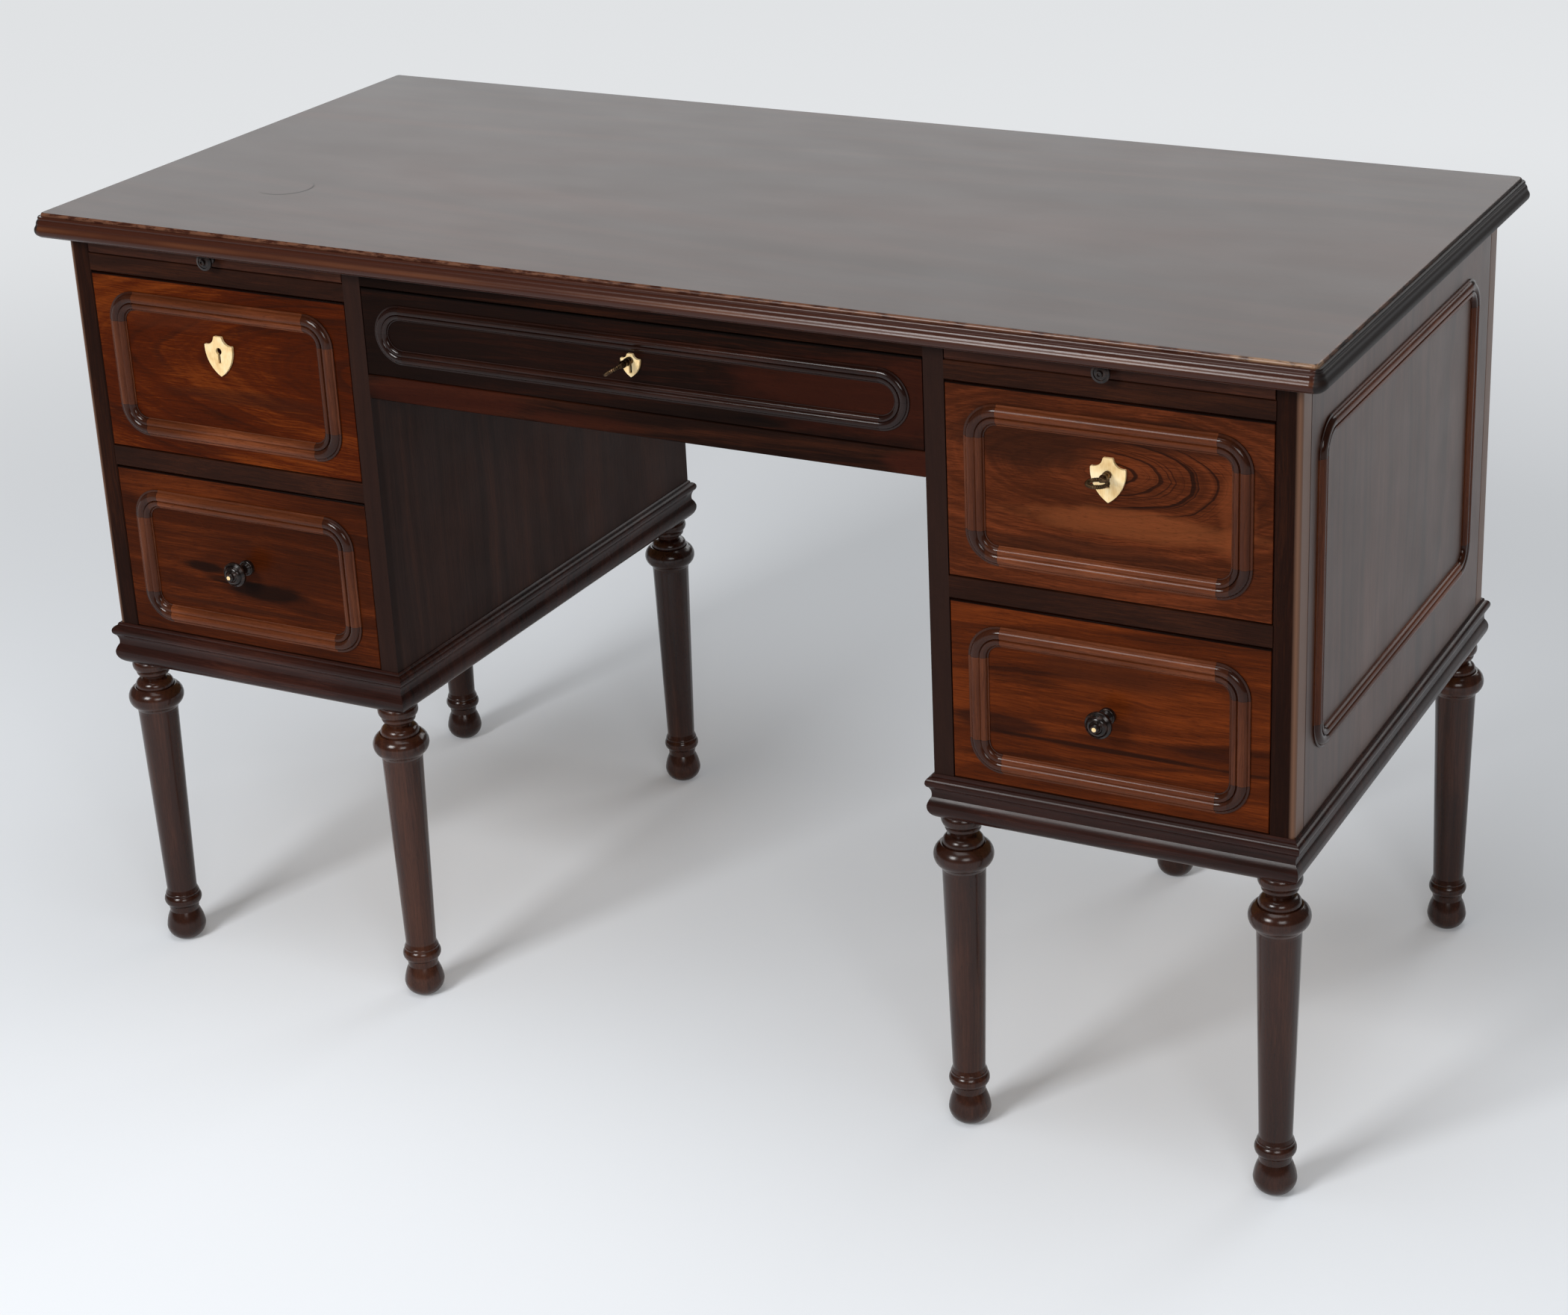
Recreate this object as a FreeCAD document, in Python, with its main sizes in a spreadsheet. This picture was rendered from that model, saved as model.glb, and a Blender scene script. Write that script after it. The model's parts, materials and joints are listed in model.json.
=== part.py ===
import FreeCAD, Part
import os
import re
import Sketcher

# Pedestal writing desk. X runs to the right, Y to the back and Z up, in millimetres.
# The origin lies on the floor under the middle of the outline, the keys in the locks included.

doc = FreeCAD.newDocument("pedestal_desk")
sheet = doc.addObject("Spreadsheet::Sheet", "size")

driving_sizes = {
    # table top
    "desk_height": 780.0,
    "top_width": 1256.8,
    "top_depth": 586.6,
    "top_thickness": 22.4,
    "top_corner_radius": 3.0,
    "nose_reach": 9.6,
    "overhang": 15.3,
    # pedestals
    "pedestal_width": 331.2,
    "post_width": 21.9,
    "post_depth": 22.6,
    "post_corner_radius": 4.0,
    "inner_side_thickness": 18.8,
    "back_thickness": 12.0,
    "bottom_board_thickness": 20.0,
    "base_height": 42.6,
    "base_reach": 6.9,
    "slide_opening": 16.6,
    "slide_rail_height": 18.0,
    "top_drawer_opening": 175.0,
    "drawer_rail_height": 21.0,
    "low_drawer_opening": 169.4,
    "rail_depth": 60.0,
    "runner_width": 24.0,
    "runner_height": 18.0,
    # the stretch between the pedestals
    "centre_rail_height": 17.3,
    "centre_drawer_opening": 83.4,
    "apron_height": 23.4,
    "centre_back_thickness": 18.0,
    # legs
    "leg_inset": 17.9,
    "leg_radius": 27.2,
    "dowel_radius": 11.0,
    "dowel_length": 18.0,
    "dowel_clearance": 0.1,
    # drawers
    "front_gap": 1.0,
    "running_gap": 0.3,
    "joint_gap": 0.1,
    "drawer_back_clearance": 24.0,
    "front_thickness": 20.0,
    "lining_thickness": 9.0,
    "bottom_thickness": 6.0,
    "groove_depth": 4.0,
    "groove_height": 8.0,
    "side_drop": 12.0,
    "tail_length": 13.0,
    "back_drop": 8.0,
    "stop_width": 24.0,
    "stop_depth": 18.0,
    "stop_height": 5.0,
    # writing slides
    "slide_back_clearance": 44.0,
    "lipping_depth": 28.0,
    # raised frames on the drawers and the pedestal sides
    "frame_width": 18.4,
    "frame_corner_radius": 30.0,
    "frame_margin": 14.6,
    "frame_side_margin": 17.5,
    "low_frame_drop": 3.8,
    "centre_frame_width": 14.0,
    "centre_frame_height": 56.2,
    "centre_frame_margin": 13.0,
    "side_frame_front_margin": 41.0,
    "side_frame_back_margin": 65.3,
    "side_frame_drop": 47.8,
    "side_frame_rise": 56.1,
    # escutcheons, locks and keys
    "lock_offset": 2.4,
    "top_key_height": 112.0,
    "centre_key_height": 47.8,
    "shield_width": 31.2,
    "shield_height": 39.1,
    "centre_shield_width": 19.3,
    "centre_shield_height": 21.4,
    "shield_thickness": 2.6,
    "keyhole_radius": 3.4,
    "keyhole_slot": 3.0,
    "keyhole_drop": 12.0,
    "lock_width": 50.0,
    "lock_depth": 12.0,
    "lock_wall": 1.5,
    "lock_foot": 16.0,
    "bolt_width": 20.0,
    "bolt_thickness": 5.0,
    "bolt_travel": 8.0,
    "bolt_clearance": 0.4,
    "key_reach": 40.0,
    "right_key_reach": 35.0,
    "key_shank_radius": 2.4,
    "lock_pin_radius": 1.2,
    "lock_pin_clearance": 0.08,
    "key_collar_radius": 3.6,
    "bow_radius": 10.4,
    "bow_wire_radius": 1.9,
    "bit_length": 5.0,
    "bit_thickness": 2.2,
    "bit_reach": 10.0,
    # turned knobs
    "knob_radius": 12.3,
    "knob_reach": 31.0,
    "knob_height": 84.0,
    "knob_dot_radius": 2.0,
    "knob_shank_radius": 3.5,
    "slide_knob_radius": 8.2,
    "slide_knob_reach": 15.0,
}

for row, (alias, value) in enumerate(driving_sizes.items(), 1):
    sheet.set(f"A{row}", alias)
    sheet.set(f"B{row}", str(value))
    sheet.setAlias(f"B{row}", alias)
doc.recompute()

# Angles in degrees. The key of the middle drawer stands turned, as if left half way.
quarter_turn = 90.0
centre_key_turn = -32.0

# Sizes that follow from the driving ones, as formulas.
carcass_half_width = "(top_width / 2 - overhang)"
carcass_depth = "(top_depth - 2 * overhang)"
middle = "((key_reach - overhang - nose_reach) / 2)"
front = f"({middle} - {carcass_depth} / 2)"
back = f"({middle} + {carcass_depth} / 2)"
knee_half_width = f"({carcass_half_width} - pedestal_width)"
opening_start = f"({knee_half_width} + inner_side_thickness)"
opening_end = f"({carcass_half_width} - post_width)"
opening_width = f"({opening_end} - {opening_start})"
opening_centre = f"(({opening_end} + {opening_start}) / 2)"
pedestal_centre = f"({carcass_half_width} - pedestal_width / 2)"
top_underside = "(desk_height - top_thickness)"
slide_floor = f"({top_underside} - slide_opening)"
top_drawer_ceiling = f"({slide_floor} - slide_rail_height)"
top_drawer_floor = f"({top_drawer_ceiling} - top_drawer_opening)"
low_drawer_ceiling = f"({top_drawer_floor} - drawer_rail_height)"
low_drawer_floor = f"({low_drawer_ceiling} - low_drawer_opening)"
case_bottom = f"({low_drawer_floor} - base_height)"
case_floor = f"({case_bottom} + bottom_board_thickness)"
centre_ceiling = f"({top_underside} - centre_rail_height)"
centre_floor = f"({centre_ceiling} - centre_drawer_opening)"
apron_bottom = f"({centre_floor} - apron_height)"
runner_back = f"({back} - back_thickness)"
drawer_depth = f"({carcass_depth} - back_thickness - drawer_back_clearance)"
slide_depth = f"({carcass_depth} - back_thickness - slide_back_clearance)"

nodes = {}


def cells(text):
    """Point each size named in a formula to its cell in the sheet."""
    def link(word):
        name = word.group()
        return f"size.{name}" if name in driving_sizes else name
    return re.sub(r"[a-z_]+", link, text)


def number(text):
    return float(sheet.evalExpression(cells(text)))


def bind(piece, member, text):
    piece.setExpression(member, cells(text))


def place(piece, position, axis=(0, 0, 1), angle=0):
    piece.Placement = FreeCAD.Placement(FreeCAD.Vector(), FreeCAD.Rotation(FreeCAD.Vector(*axis), angle))
    for letter, text in zip("xyz", position):
        bind(piece, f"Placement.Base.{letter}", text)
    return piece


def node(label, piece):
    """Name a piece as one of the desk's parts."""
    piece.Label = label
    nodes[label] = piece
    return piece


def board(name, start, end):
    """A squared board between two opposite corners."""
    piece = doc.addObject("Part::Box", name)
    for member, low, high in zip(("Length", "Width", "Height"), start, end):
        bind(piece, member, f"{high} - ({low})")
    return place(piece, start)


def group(name, pieces):
    piece = doc.addObject("Part::Compound", name)
    piece.Links = pieces
    return piece


def mirrored(source, name, axis, position="0"):
    """The opposite hand of a piece, across a plane square to the axis."""
    piece = doc.addObject("Part::Mirroring", name)
    piece.Source = source
    piece.Normal = FreeCAD.Vector(*[float(letter == axis) for letter in "xyz"])
    if position != "0":
        bind(piece, f"Base.{axis}", position)
    return piece


def both_sides(label, piece):
    """The right-hand part and its opposite hand on the left."""
    node(f"{label}_right", piece)
    return node(f"{label}_left", mirrored(piece, f"{label}_left", "x"))


def cut(name, base, tool):
    piece = doc.addObject("Part::Cut", name)
    piece.Base = base
    piece.Tool = tool
    return piece


def new_body(name):
    return doc.addObject("PartDesign::Body", name)


def sketch_on(body, role, offset=None):
    plane = [feature for feature in body.Origin.OriginFeatures if feature.Role == f"{role}_Plane"][0]
    sketch = body.newObject("Sketcher::SketchObject", f"{body.Name}_{role.lower()}")
    sketch.AttachmentSupport = [(plane, "")]
    sketch.MapMode = "FlatFace"
    if offset:
        bind(sketch, "AttachmentOffset.Base.z", offset)
    return sketch


def bulged_edge(start, end, bulge):
    """A line, or an arc that stands out by the bulge to the left of its way."""
    if not bulge:
        return Part.LineSegment(start, end)
    way = end - start
    side = FreeCAD.Vector(-way.y, way.x, 0).normalize()
    return Part.Arc(start, (start + end) / 2 + side * bulge, end)


def outline(sketch, points):
    """A closed outline. A point is two formulas, with a third for the bulge of the edge that leaves it."""
    places = [FreeCAD.Vector(number(point[0]), number(point[1]), 0) for point in points]
    bulges = [number(point[2]) if len(point) > 2 else 0 for point in points]
    ends = []
    for index, start in enumerate(places):
        end = places[(index + 1) % len(places)]
        edge = sketch.addGeometry(bulged_edge(start, end, bulges[index]), False)
        near = sketch.getPoint(edge, 1).distanceToPoint(start)
        far = sketch.getPoint(edge, 2).distanceToPoint(start)
        ends.append((edge, 1, 2) if near < far else (edge, 2, 1))
    for index, (edge, first, last) in enumerate(ends):
        following = ends[(index + 1) % len(ends)]
        sketch.addConstraint(Sketcher.Constraint("Coincident", edge, last, following[0], following[1]))
        point = points[index]
        for kind, formula, value in zip(("DistanceX", "DistanceY"), point, places[index]):
            constraint = sketch.addConstraint(Sketcher.Constraint(kind, -1, 1, edge, first, value))
            bind(sketch, f"Constraints[{constraint}]", formula)
        if bulges[index]:
            following_point = points[(index + 1) % len(points)]
            chord = f"(({following_point[0]}) - ({point[0]}))^2 + (({following_point[1]}) - ({point[1]}))^2"
            radius = f"({chord} + 4 * ({point[2]})^2) / (8 * abs({point[2]}))"
            constraint = sketch.addConstraint(Sketcher.Constraint("Radius", edge, number(radius)))
            bind(sketch, f"Constraints[{constraint}]", radius)
    return sketch


def circle(sketch, x_text, y_text, radius):
    centre = FreeCAD.Vector(number(x_text), number(y_text), 0)
    edge = sketch.addGeometry(Part.Circle(centre, FreeCAD.Vector(0, 0, 1), number(radius)), False)
    for kind, formula in (("DistanceX", x_text), ("DistanceY", y_text)):
        constraint = sketch.addConstraint(Sketcher.Constraint(kind, -1, 1, edge, 3, number(formula)))
        bind(sketch, f"Constraints[{constraint}]", formula)
    constraint = sketch.addConstraint(Sketcher.Constraint("Radius", edge, number(radius)))
    bind(sketch, f"Constraints[{constraint}]", radius)
    return sketch


def rectangle(x_low, y_low, x_high, y_high):
    return [(x_low, y_low), (x_high, y_low), (x_high, y_high), (x_low, y_high)]


def pad(body, sketch, length, reverse=False, midplane=False):
    feature = body.newObject("PartDesign::Pad", f"{sketch.Name}_pad")
    feature.Profile = sketch
    feature.Reversed = reverse
    feature.Midplane = midplane
    bind(feature, "Length", length)
    return feature


def pocket(body, sketch, length, reverse=False, midplane=False):
    """A cut, proved by the volume that it takes away."""
    doc.recompute()
    volume = body.Shape.Volume
    feature = body.newObject("PartDesign::Pocket", f"{sketch.Name}_pocket")
    feature.Profile = sketch
    feature.Reversed = reverse
    feature.Midplane = midplane
    bind(feature, "Length", length)
    doc.recompute()
    if body.Shape.Volume >= volume:
        raise ValueError(f"{feature.Name} cuts nothing")
    return feature


def mirror_feature(body, feature, role):
    """Repeat a body's feature on its other side."""
    copy = body.newObject("PartDesign::Mirrored", f"{feature.Name}_mirror")
    plane = [item for item in body.Origin.OriginFeatures if item.Role == f"{role}_Plane"][0]
    copy.Originals = [feature]
    copy.MirrorPlane = (plane, [""])
    body.Tip = copy
    return copy


def turned(name, role, points):
    """A piece turned about the upright axis of its sketch."""
    body = new_body(name)
    sketch = outline(sketch_on(body, role), points)
    feature = body.newObject("PartDesign::Revolution", f"{name}_turning")
    feature.Profile = sketch
    feature.ReferenceAxis = (sketch, ["V_Axis"])
    feature.Angle = 360
    return body


def shared(shares, across, along, bulge):
    """Outline points from a table of shares of the sizes that they follow."""
    points = []
    for entry in shares:
        point = [f"{entry[0]} * {across}", f"{entry[1]} * {along}"]
        if len(entry) > 2:
            point.append(f"{entry[2]} * {bulge}")
        points.append(tuple(point))
    return points


# Table top: a flat board with two small beads, an ogee and a full round nose along its edge.
# Shares of the nose's reach and of the board's thickness, downwards from the surface.
nose_shares = [(0, 0, 0.05), (0.2, -0.125), (0.17, -0.14), (0.45, -0.15, 0.05), (0.5, -0.28), (0.52, -0.29, 0.045),
               (0.74, -0.44, -0.03), (0.88, -0.6, 0.235), (0.62, -0.985), (0.6, -1), (0, -1)]


def table_top():
    body = new_body("top")
    half_width = "top_width / 2"
    half_depth = "top_depth / 2"
    radius = "top_corner_radius"
    sagitta = f"-{radius} * (1 - sqrt(2) / 2)"
    inner_width = f"({half_width} - {radius})"
    inner_depth = f"({half_depth} - {radius})"
    plan = [(half_width, "0"), (half_width, inner_depth, sagitta), (inner_width, half_depth),
            (f"-{inner_width}", half_depth, sagitta), (f"-{half_width}", inner_depth),
            (f"-{half_width}", f"-{inner_depth}", sagitta), (f"-{inner_width}", f"-{half_depth}"),
            (inner_width, f"-{half_depth}", sagitta), (half_width, f"-{inner_depth}")]
    path = outline(sketch_on(body, "XY"), plan)
    pad(body, path, "top_thickness", reverse=True)
    profile = []
    for across, down, *bulge in nose_shares:
        point = [f"{half_width} + {across} * nose_reach", f"{down} * top_thickness"]
        profile.append(tuple(point + [f"{share} * nose_reach" for share in bulge]))
    nose = outline(sketch_on(body, "XZ"), profile)
    pipe = body.newObject("PartDesign::AdditivePipe", "nose")
    pipe.Profile = nose
    pipe.Spine = path
    return place(body, ("0", middle, "desk_height"))


node("top", table_top())

# Pedestal carcass, right hand first.


def outer_post():
    body = new_body("outer_post")
    corner = "post_corner_radius"
    sagitta = f"-{corner} * (1 - sqrt(2) / 2)"
    plan = [("0", "0"), (f"post_width - {corner}", "0", sagitta), ("post_width", corner),
            ("post_width", "post_depth"), ("0", "post_depth")]
    pad(body, outline(sketch_on(body, "XY"), plan), f"{top_underside} - {case_floor}")
    return place(body, (opening_end, front, case_floor))


front_post = outer_post()
back_post = mirrored(front_post, "back_post", "y", middle)
left_posts = [mirrored(post, f"{post.Name}_left", "x") for post in (front_post, back_post)]
node("outer_posts", group("outer_posts", [front_post, back_post] + left_posts))

both_sides("side_panel", board("side_panel", (opening_end, f"{front} + post_depth", case_floor),
                               (carcass_half_width, f"{back} - post_depth", top_underside)))
both_sides("inner_side", board("inner_side", (knee_half_width, front, case_floor),
                               (opening_start, back, top_underside)))

back_panel = board("back_panel", (opening_start, runner_back, case_floor), (opening_end, back, top_underside))
node("back_panels", group("back_panels", [back_panel, mirrored(back_panel, "back_panel_left", "x")]))


def front_rail(name, low, high):
    return board(name, (opening_start, front, low), (opening_end, f"{front} + rail_depth", high))


def mortise(name, centre, floor):
    """The hollow in a rail that takes a lock's bolt."""
    half = "(bolt_width / 2 + 2 * bolt_clearance)"
    bolt_face = f"({front} + front_thickness - lock_depth / 2 - bolt_thickness / 2 - bolt_clearance)"
    bolt_back = f"({bolt_face} + bolt_thickness + 2 * bolt_clearance)"
    return board(name, (f"{centre} - {half}", bolt_face, floor),
                 (f"{centre} + {half}", bolt_back, f"{floor} + bolt_travel + bolt_clearance"))


lock_centre = f"({opening_centre} + lock_offset)"
slide_rail = cut("slide_rail", front_rail("slide_rail_blank", top_drawer_ceiling, slide_floor),
                 mortise("slide_rail_mortise", lock_centre, top_drawer_ceiling))
drawer_rail = front_rail("drawer_rail", low_drawer_ceiling, top_drawer_floor)
bottom_rail = front_rail("bottom_rail", case_floor, low_drawer_floor)
right_rails = [slide_rail, drawer_rail, bottom_rail]
left_rails = [mirrored(rail, f"{rail.Name}_left", "x") for rail in right_rails]
node("front_rails", group("front_rails", right_rails + left_rails))


def bottom_board():
    """The board under a pedestal, bored for the four leg dowels."""
    body = new_body("bottom_board")
    half_width = "pedestal_width / 2"
    half_depth = f"{carcass_depth} / 2"
    plan = rectangle(f"-{half_width}", f"-{half_depth}", half_width, half_depth)
    pad(body, outline(sketch_on(body, "XY"), plan), "bottom_board_thickness")
    bores = sketch_on(body, "XY")
    for x_sign in ("-", ""):
        for y_sign in ("-", ""):
            x_text = f"{x_sign}(pedestal_width / 2 - leg_inset)"
            y_text = f"{y_sign}({carcass_depth} / 2 - leg_inset)"
            circle(bores, x_text, y_text, "dowel_radius + dowel_clearance")
    pocket(body, bores, "dowel_length + dowel_clearance", reverse=True)
    return place(body, (pedestal_centre, middle, case_bottom))


right_board = bottom_board()
left_board = mirrored(right_board, "bottom_board_left", "x")
node("bottom_boards", group("bottom_boards", [right_board, left_board]))


def runner_pair(name, low, high):
    """Two runners inside a pedestal, along its inner and outer sides, from the rail to the back."""
    start = f"{front} + rail_depth"
    inner_end = f"{opening_start} + runner_width"
    outer_start = f"{opening_end} - runner_width"
    return [board(f"{name}_inner", (opening_start, start, low), (inner_end, runner_back, high)),
            board(f"{name}_outer", (outer_start, start, low), (opening_end, runner_back, high))]


right_runners = (runner_pair("slide_runner", top_drawer_ceiling, slide_floor)
                 + runner_pair("top_runner", f"{top_drawer_floor} - runner_height", top_drawer_floor)
                 + runner_pair("low_runner", case_floor, low_drawer_floor))
left_runners = [mirrored(runner, f"{runner.Name}_left", "x") for runner in right_runners]
node("runners", group("runners", right_runners + left_runners))

# Mouldings round the foot of a pedestal, mitred at the corners.
# Shares of the moulding's reach and height, upwards from its lower edge.
base_shares = [(0, 0), (0.08, 0.012, -0.26), (0.84, 0.3, -0.06), (0.36, 0.47, 0.13), (0.6, 0.69, -0.48),
               (0.42, 0.93), (0.3, 0.935), (0.28, 0.97), (0.1, 1), (0, 1)]


def base_moulding(name, length):
    """A run of moulding along X, its back at y = 0, with both ends mitred."""
    body = new_body(name)
    points = []
    for across, up, *bulge in base_shares:
        point = [f"-{across} * base_reach", f"{up} * base_height"]
        points.append(tuple(point + [f"-{share} * base_reach" for share in bulge]))
    pad(body, outline(sketch_on(body, "YZ"), points), f"{length} + 2 * base_reach", midplane=True)
    mitre = [(f"{length} / 2", "0"), (f"{length} / 2 + base_reach", "-base_reach"),
             (f"{length} / 2 + base_reach", "0")]
    end = pocket(body, outline(sketch_on(body, "XY"), mitre), "base_height", reverse=True)
    mirror_feature(body, end, "YZ")
    return body


def base_mouldings():
    front_run = place(base_moulding("base_front", "pedestal_width"), ("0", f"-{carcass_depth} / 2", "0"))
    side_run = base_moulding("base_side", carcass_depth)
    place(side_run, ("pedestal_width / 2", "0", "0"), angle=quarter_turn)
    runs = [front_run, mirrored(front_run, "base_back", "y"), side_run, mirrored(side_run, "base_inner", "x")]
    return place(group("base_moulding", runs), (pedestal_centre, middle, case_bottom))


both_sides("base_moulding", base_mouldings())

# Turned legs. Shares of the leg's height and of its largest radius, from the collar down to the ball foot.
leg_shares = [(0.67, 1), (0.67, 0.997, 0.06), (0.645, 0.966), (0.59, 0.963, 0.05), (0.5, 0.945), (0.44, 0.943),
              (0.42, 0.934, 0.12), (0.67, 0.9, 0.04), (0.78, 0.904, 0.21), (0.8, 0.838), (0.74, 0.829),
              (0.724, 0.819), (0.553, 0.18), (0.6, 0.168, 0.015), (0.61, 0.16), (0.62, 0.158, 0.09),
              (0.58, 0.122), (0.56, 0.12), (0.535, 0.1, 0.03), (0.72, 0.046, 0.1), (0.36, 0), (0, 0)]


def leg():
    head = [("0", f"{case_bottom} + dowel_length"), ("dowel_radius", f"{case_bottom} + dowel_length"),
            ("dowel_radius", case_bottom)]
    body = turned("leg", "XZ", head + shared(leg_shares, "leg_radius", case_bottom, "leg_radius"))
    return place(body, (f"{carcass_half_width} - leg_inset", f"{front} + leg_inset", "0"))


outer_front_leg = leg()
outer_back_leg = mirrored(outer_front_leg, "outer_back_leg", "y", middle)
inner_legs = [mirrored(source, name, "x", pedestal_centre)
              for source, name in ((outer_front_leg, "inner_front_leg"), (outer_back_leg, "inner_back_leg"))]
both_sides("legs", group("legs", [outer_front_leg, outer_back_leg] + inner_legs))

# Rails and runners between the pedestals.
centre_blank = board("centre_rail_blank", (f"-{knee_half_width}", front, centre_ceiling),
                     (knee_half_width, f"{front} + rail_depth", top_underside))
node("centre_top_rail", cut("centre_top_rail", centre_blank, mortise("centre_mortise", "0", centre_ceiling)))
node("apron_rail", board("apron_rail", (f"-{knee_half_width}", front, apron_bottom),
                         (knee_half_width, f"{front} + rail_depth", centre_floor)))
centre_back_face = f"({back} - centre_back_thickness)"
node("centre_back_rail", board("centre_back_rail", (f"-{knee_half_width}", centre_back_face, apron_bottom),
                               (knee_half_width, back, top_underside)))


def centre_runner(name, low, high):
    return board(name, (f"{knee_half_width} - runner_width", f"{front} + rail_depth", low),
                 (knee_half_width, centre_back_face, high))


right_centre_runners = [centre_runner("centre_runner", f"{centre_floor} - runner_height", centre_floor),
                        centre_runner("centre_kicker", centre_ceiling, top_underside)]
left_centre_runners = [mirrored(runner, f"{runner.Name}_left", "x") for runner in right_centre_runners]
node("centre_runners", group("centre_runners", right_centre_runners + left_centre_runners))

# Raised frames: a roll, a quirk and a sloping inner bead. Straight lengths meet quarter-round corner pieces.
# Shares of the frame's width, inwards from its outer edge and outwards from the face that carries it.
frame_shares = [(0, 0), (0, 0.08), (0.1, 0.1, 0.155), (0.61, 0.17), (0.635, 0.245), (0.67, 0.25, 0.06),
                (0.94, 0.09), (0.95, 0.055), (1, 0.05), (1, 0)]


def frame_points(width, edge):
    """The frame's section in a YZ sketch, its outer edge at the given height."""
    points = []
    for inwards, out, *bulge in frame_shares:
        point = [f"-{out} * {width}", f"{edge} + {inwards} * {width}"]
        points.append(tuple(point + [f"{share} * {width}" for share in bulge]))
    return points


def frame_straight(name, width, edge, length):
    body = new_body(name)
    pad(body, outline(sketch_on(body, "YZ"), frame_points(width, edge)), length, midplane=True)
    return body


def frame_corner(name, width, radius):
    """A quarter turn about Y, centred on the body's own origin, in the lower left of the frame."""
    body = new_body(name)
    sketch = outline(sketch_on(body, "YZ"), frame_points(width, f"-{radius}"))
    feature = body.newObject("PartDesign::Revolution", f"{name}_turning")
    feature.Profile = sketch
    feature.ReferenceAxis = (sketch, ["H_Axis"])
    feature.Angle = quarter_turn
    return body


def raised_frame(name, width, height, section, radius, round_ends=False):
    """A frame in the XZ plane that faces the front, centred on its own origin."""
    corners = f"2 * ({radius} + joint_gap)"
    lower = frame_straight(f"{name}_lower", section, f"-({height}) / 2", f"{width} - {corners}")
    pieces = [lower, mirrored(lower, f"{name}_upper", "z")]
    if not round_ends:
        upright = frame_straight(f"{name}_upright", section, f"-({width}) / 2", f"{height} - {corners}")
        place(upright, ("0", "0", "0"), axis=(0, 1, 0), angle=quarter_turn)
        pieces += [upright, mirrored(upright, f"{name}_upright_far", "x")]
    corner = frame_corner(f"{name}_corner", section, radius)
    place(corner, (f"-({width}) / 2 + {radius}", "0", f"-({height}) / 2 + {radius}"))
    right_corner = mirrored(corner, f"{name}_corner_right", "x")
    pieces += [corner, right_corner, mirrored(corner, f"{name}_corner_upper", "z"),
               mirrored(right_corner, f"{name}_corner_far", "z")]
    return group(name, pieces)


side_frame_width = f"({carcass_depth} - side_frame_front_margin - side_frame_back_margin)"
side_frame_low = f"({low_drawer_floor} + side_frame_rise)"
side_frame_height = f"({top_underside} - side_frame_drop - {side_frame_low})"
side_frame_middle = f"({front} + side_frame_front_margin + {side_frame_width} / 2)"
side_frame = raised_frame("side_frame", side_frame_width, side_frame_height, "frame_width",
                          "frame_corner_radius")
place(side_frame, (carcass_half_width, side_frame_middle, f"{side_frame_low} + {side_frame_height} / 2"),
      angle=quarter_turn)
both_sides("side_frame", side_frame)

# Drawers. Each is built about the middle of its front's foot and then set in its opening.
# Shares of the space for one dovetail: half of its root and half of its wider tip.
tail_root_share = 0.28
tail_tip_share = 0.36


def tail_points(count, side_height, root, tip, slack="0"):
    """The corners of each dovetail on a drawer side, from the bottom up, or of its looser socket."""
    pitch = f"({side_height} / {count})"
    root_half = f"({tail_root_share} * {pitch} + {slack})"
    tip_half = f"({tail_tip_share} * {pitch} + {slack})"
    tails = []
    for index in range(count):
        centre = f"(running_gap + {pitch} * (2 * {index} + 1) / 2)"
        tails.append([(root, f"{centre} - {root_half}"), (tip, f"{centre} - {tip_half}"),
                      (tip, f"{centre} + {tip_half}"), (root, f"{centre} + {root_half}")])
    return tails


front_tip = "(front_thickness - tail_length)"
back_face = f"({drawer_depth} - lining_thickness)"
front_shoulder = "(front_thickness + joint_gap)"
back_shoulder = f"({back_face} - joint_gap)"
groove_top = "(groove_height + bottom_thickness)"


def cut_sockets(body, half_width, sockets):
    """Sockets for the dovetails in both ends of a drawer's front or back."""
    sketch = sketch_on(body, "YZ", f"{half_width} - lining_thickness")
    for socket in sockets:
        outline(sketch, socket)
    feature = pocket(body, sketch, "lining_thickness", reverse=True)
    mirror_feature(body, feature, "YZ")


def keyhole_points(height):
    """A round hole with a straight slot below it."""
    slot = "keyhole_slot / 2"
    neck = "sqrt(keyhole_radius^2 - (keyhole_slot / 2)^2)"
    return [(f"-{slot}", f"{height} - keyhole_drop"), (slot, f"{height} - keyhole_drop"),
            (slot, f"{height} - {neck}", f"-(keyhole_radius + {neck})"), (f"-{slot}", f"{height} - {neck}")]


def shift(points, offset):
    return [(f"{offset} + {point[0]}",) + tuple(point[1:]) for point in points]


def round_hole(body, x_text, y_text, radius, depth):
    return pocket(body, circle(sketch_on(body, "XZ"), x_text, y_text, radius), depth)


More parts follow.
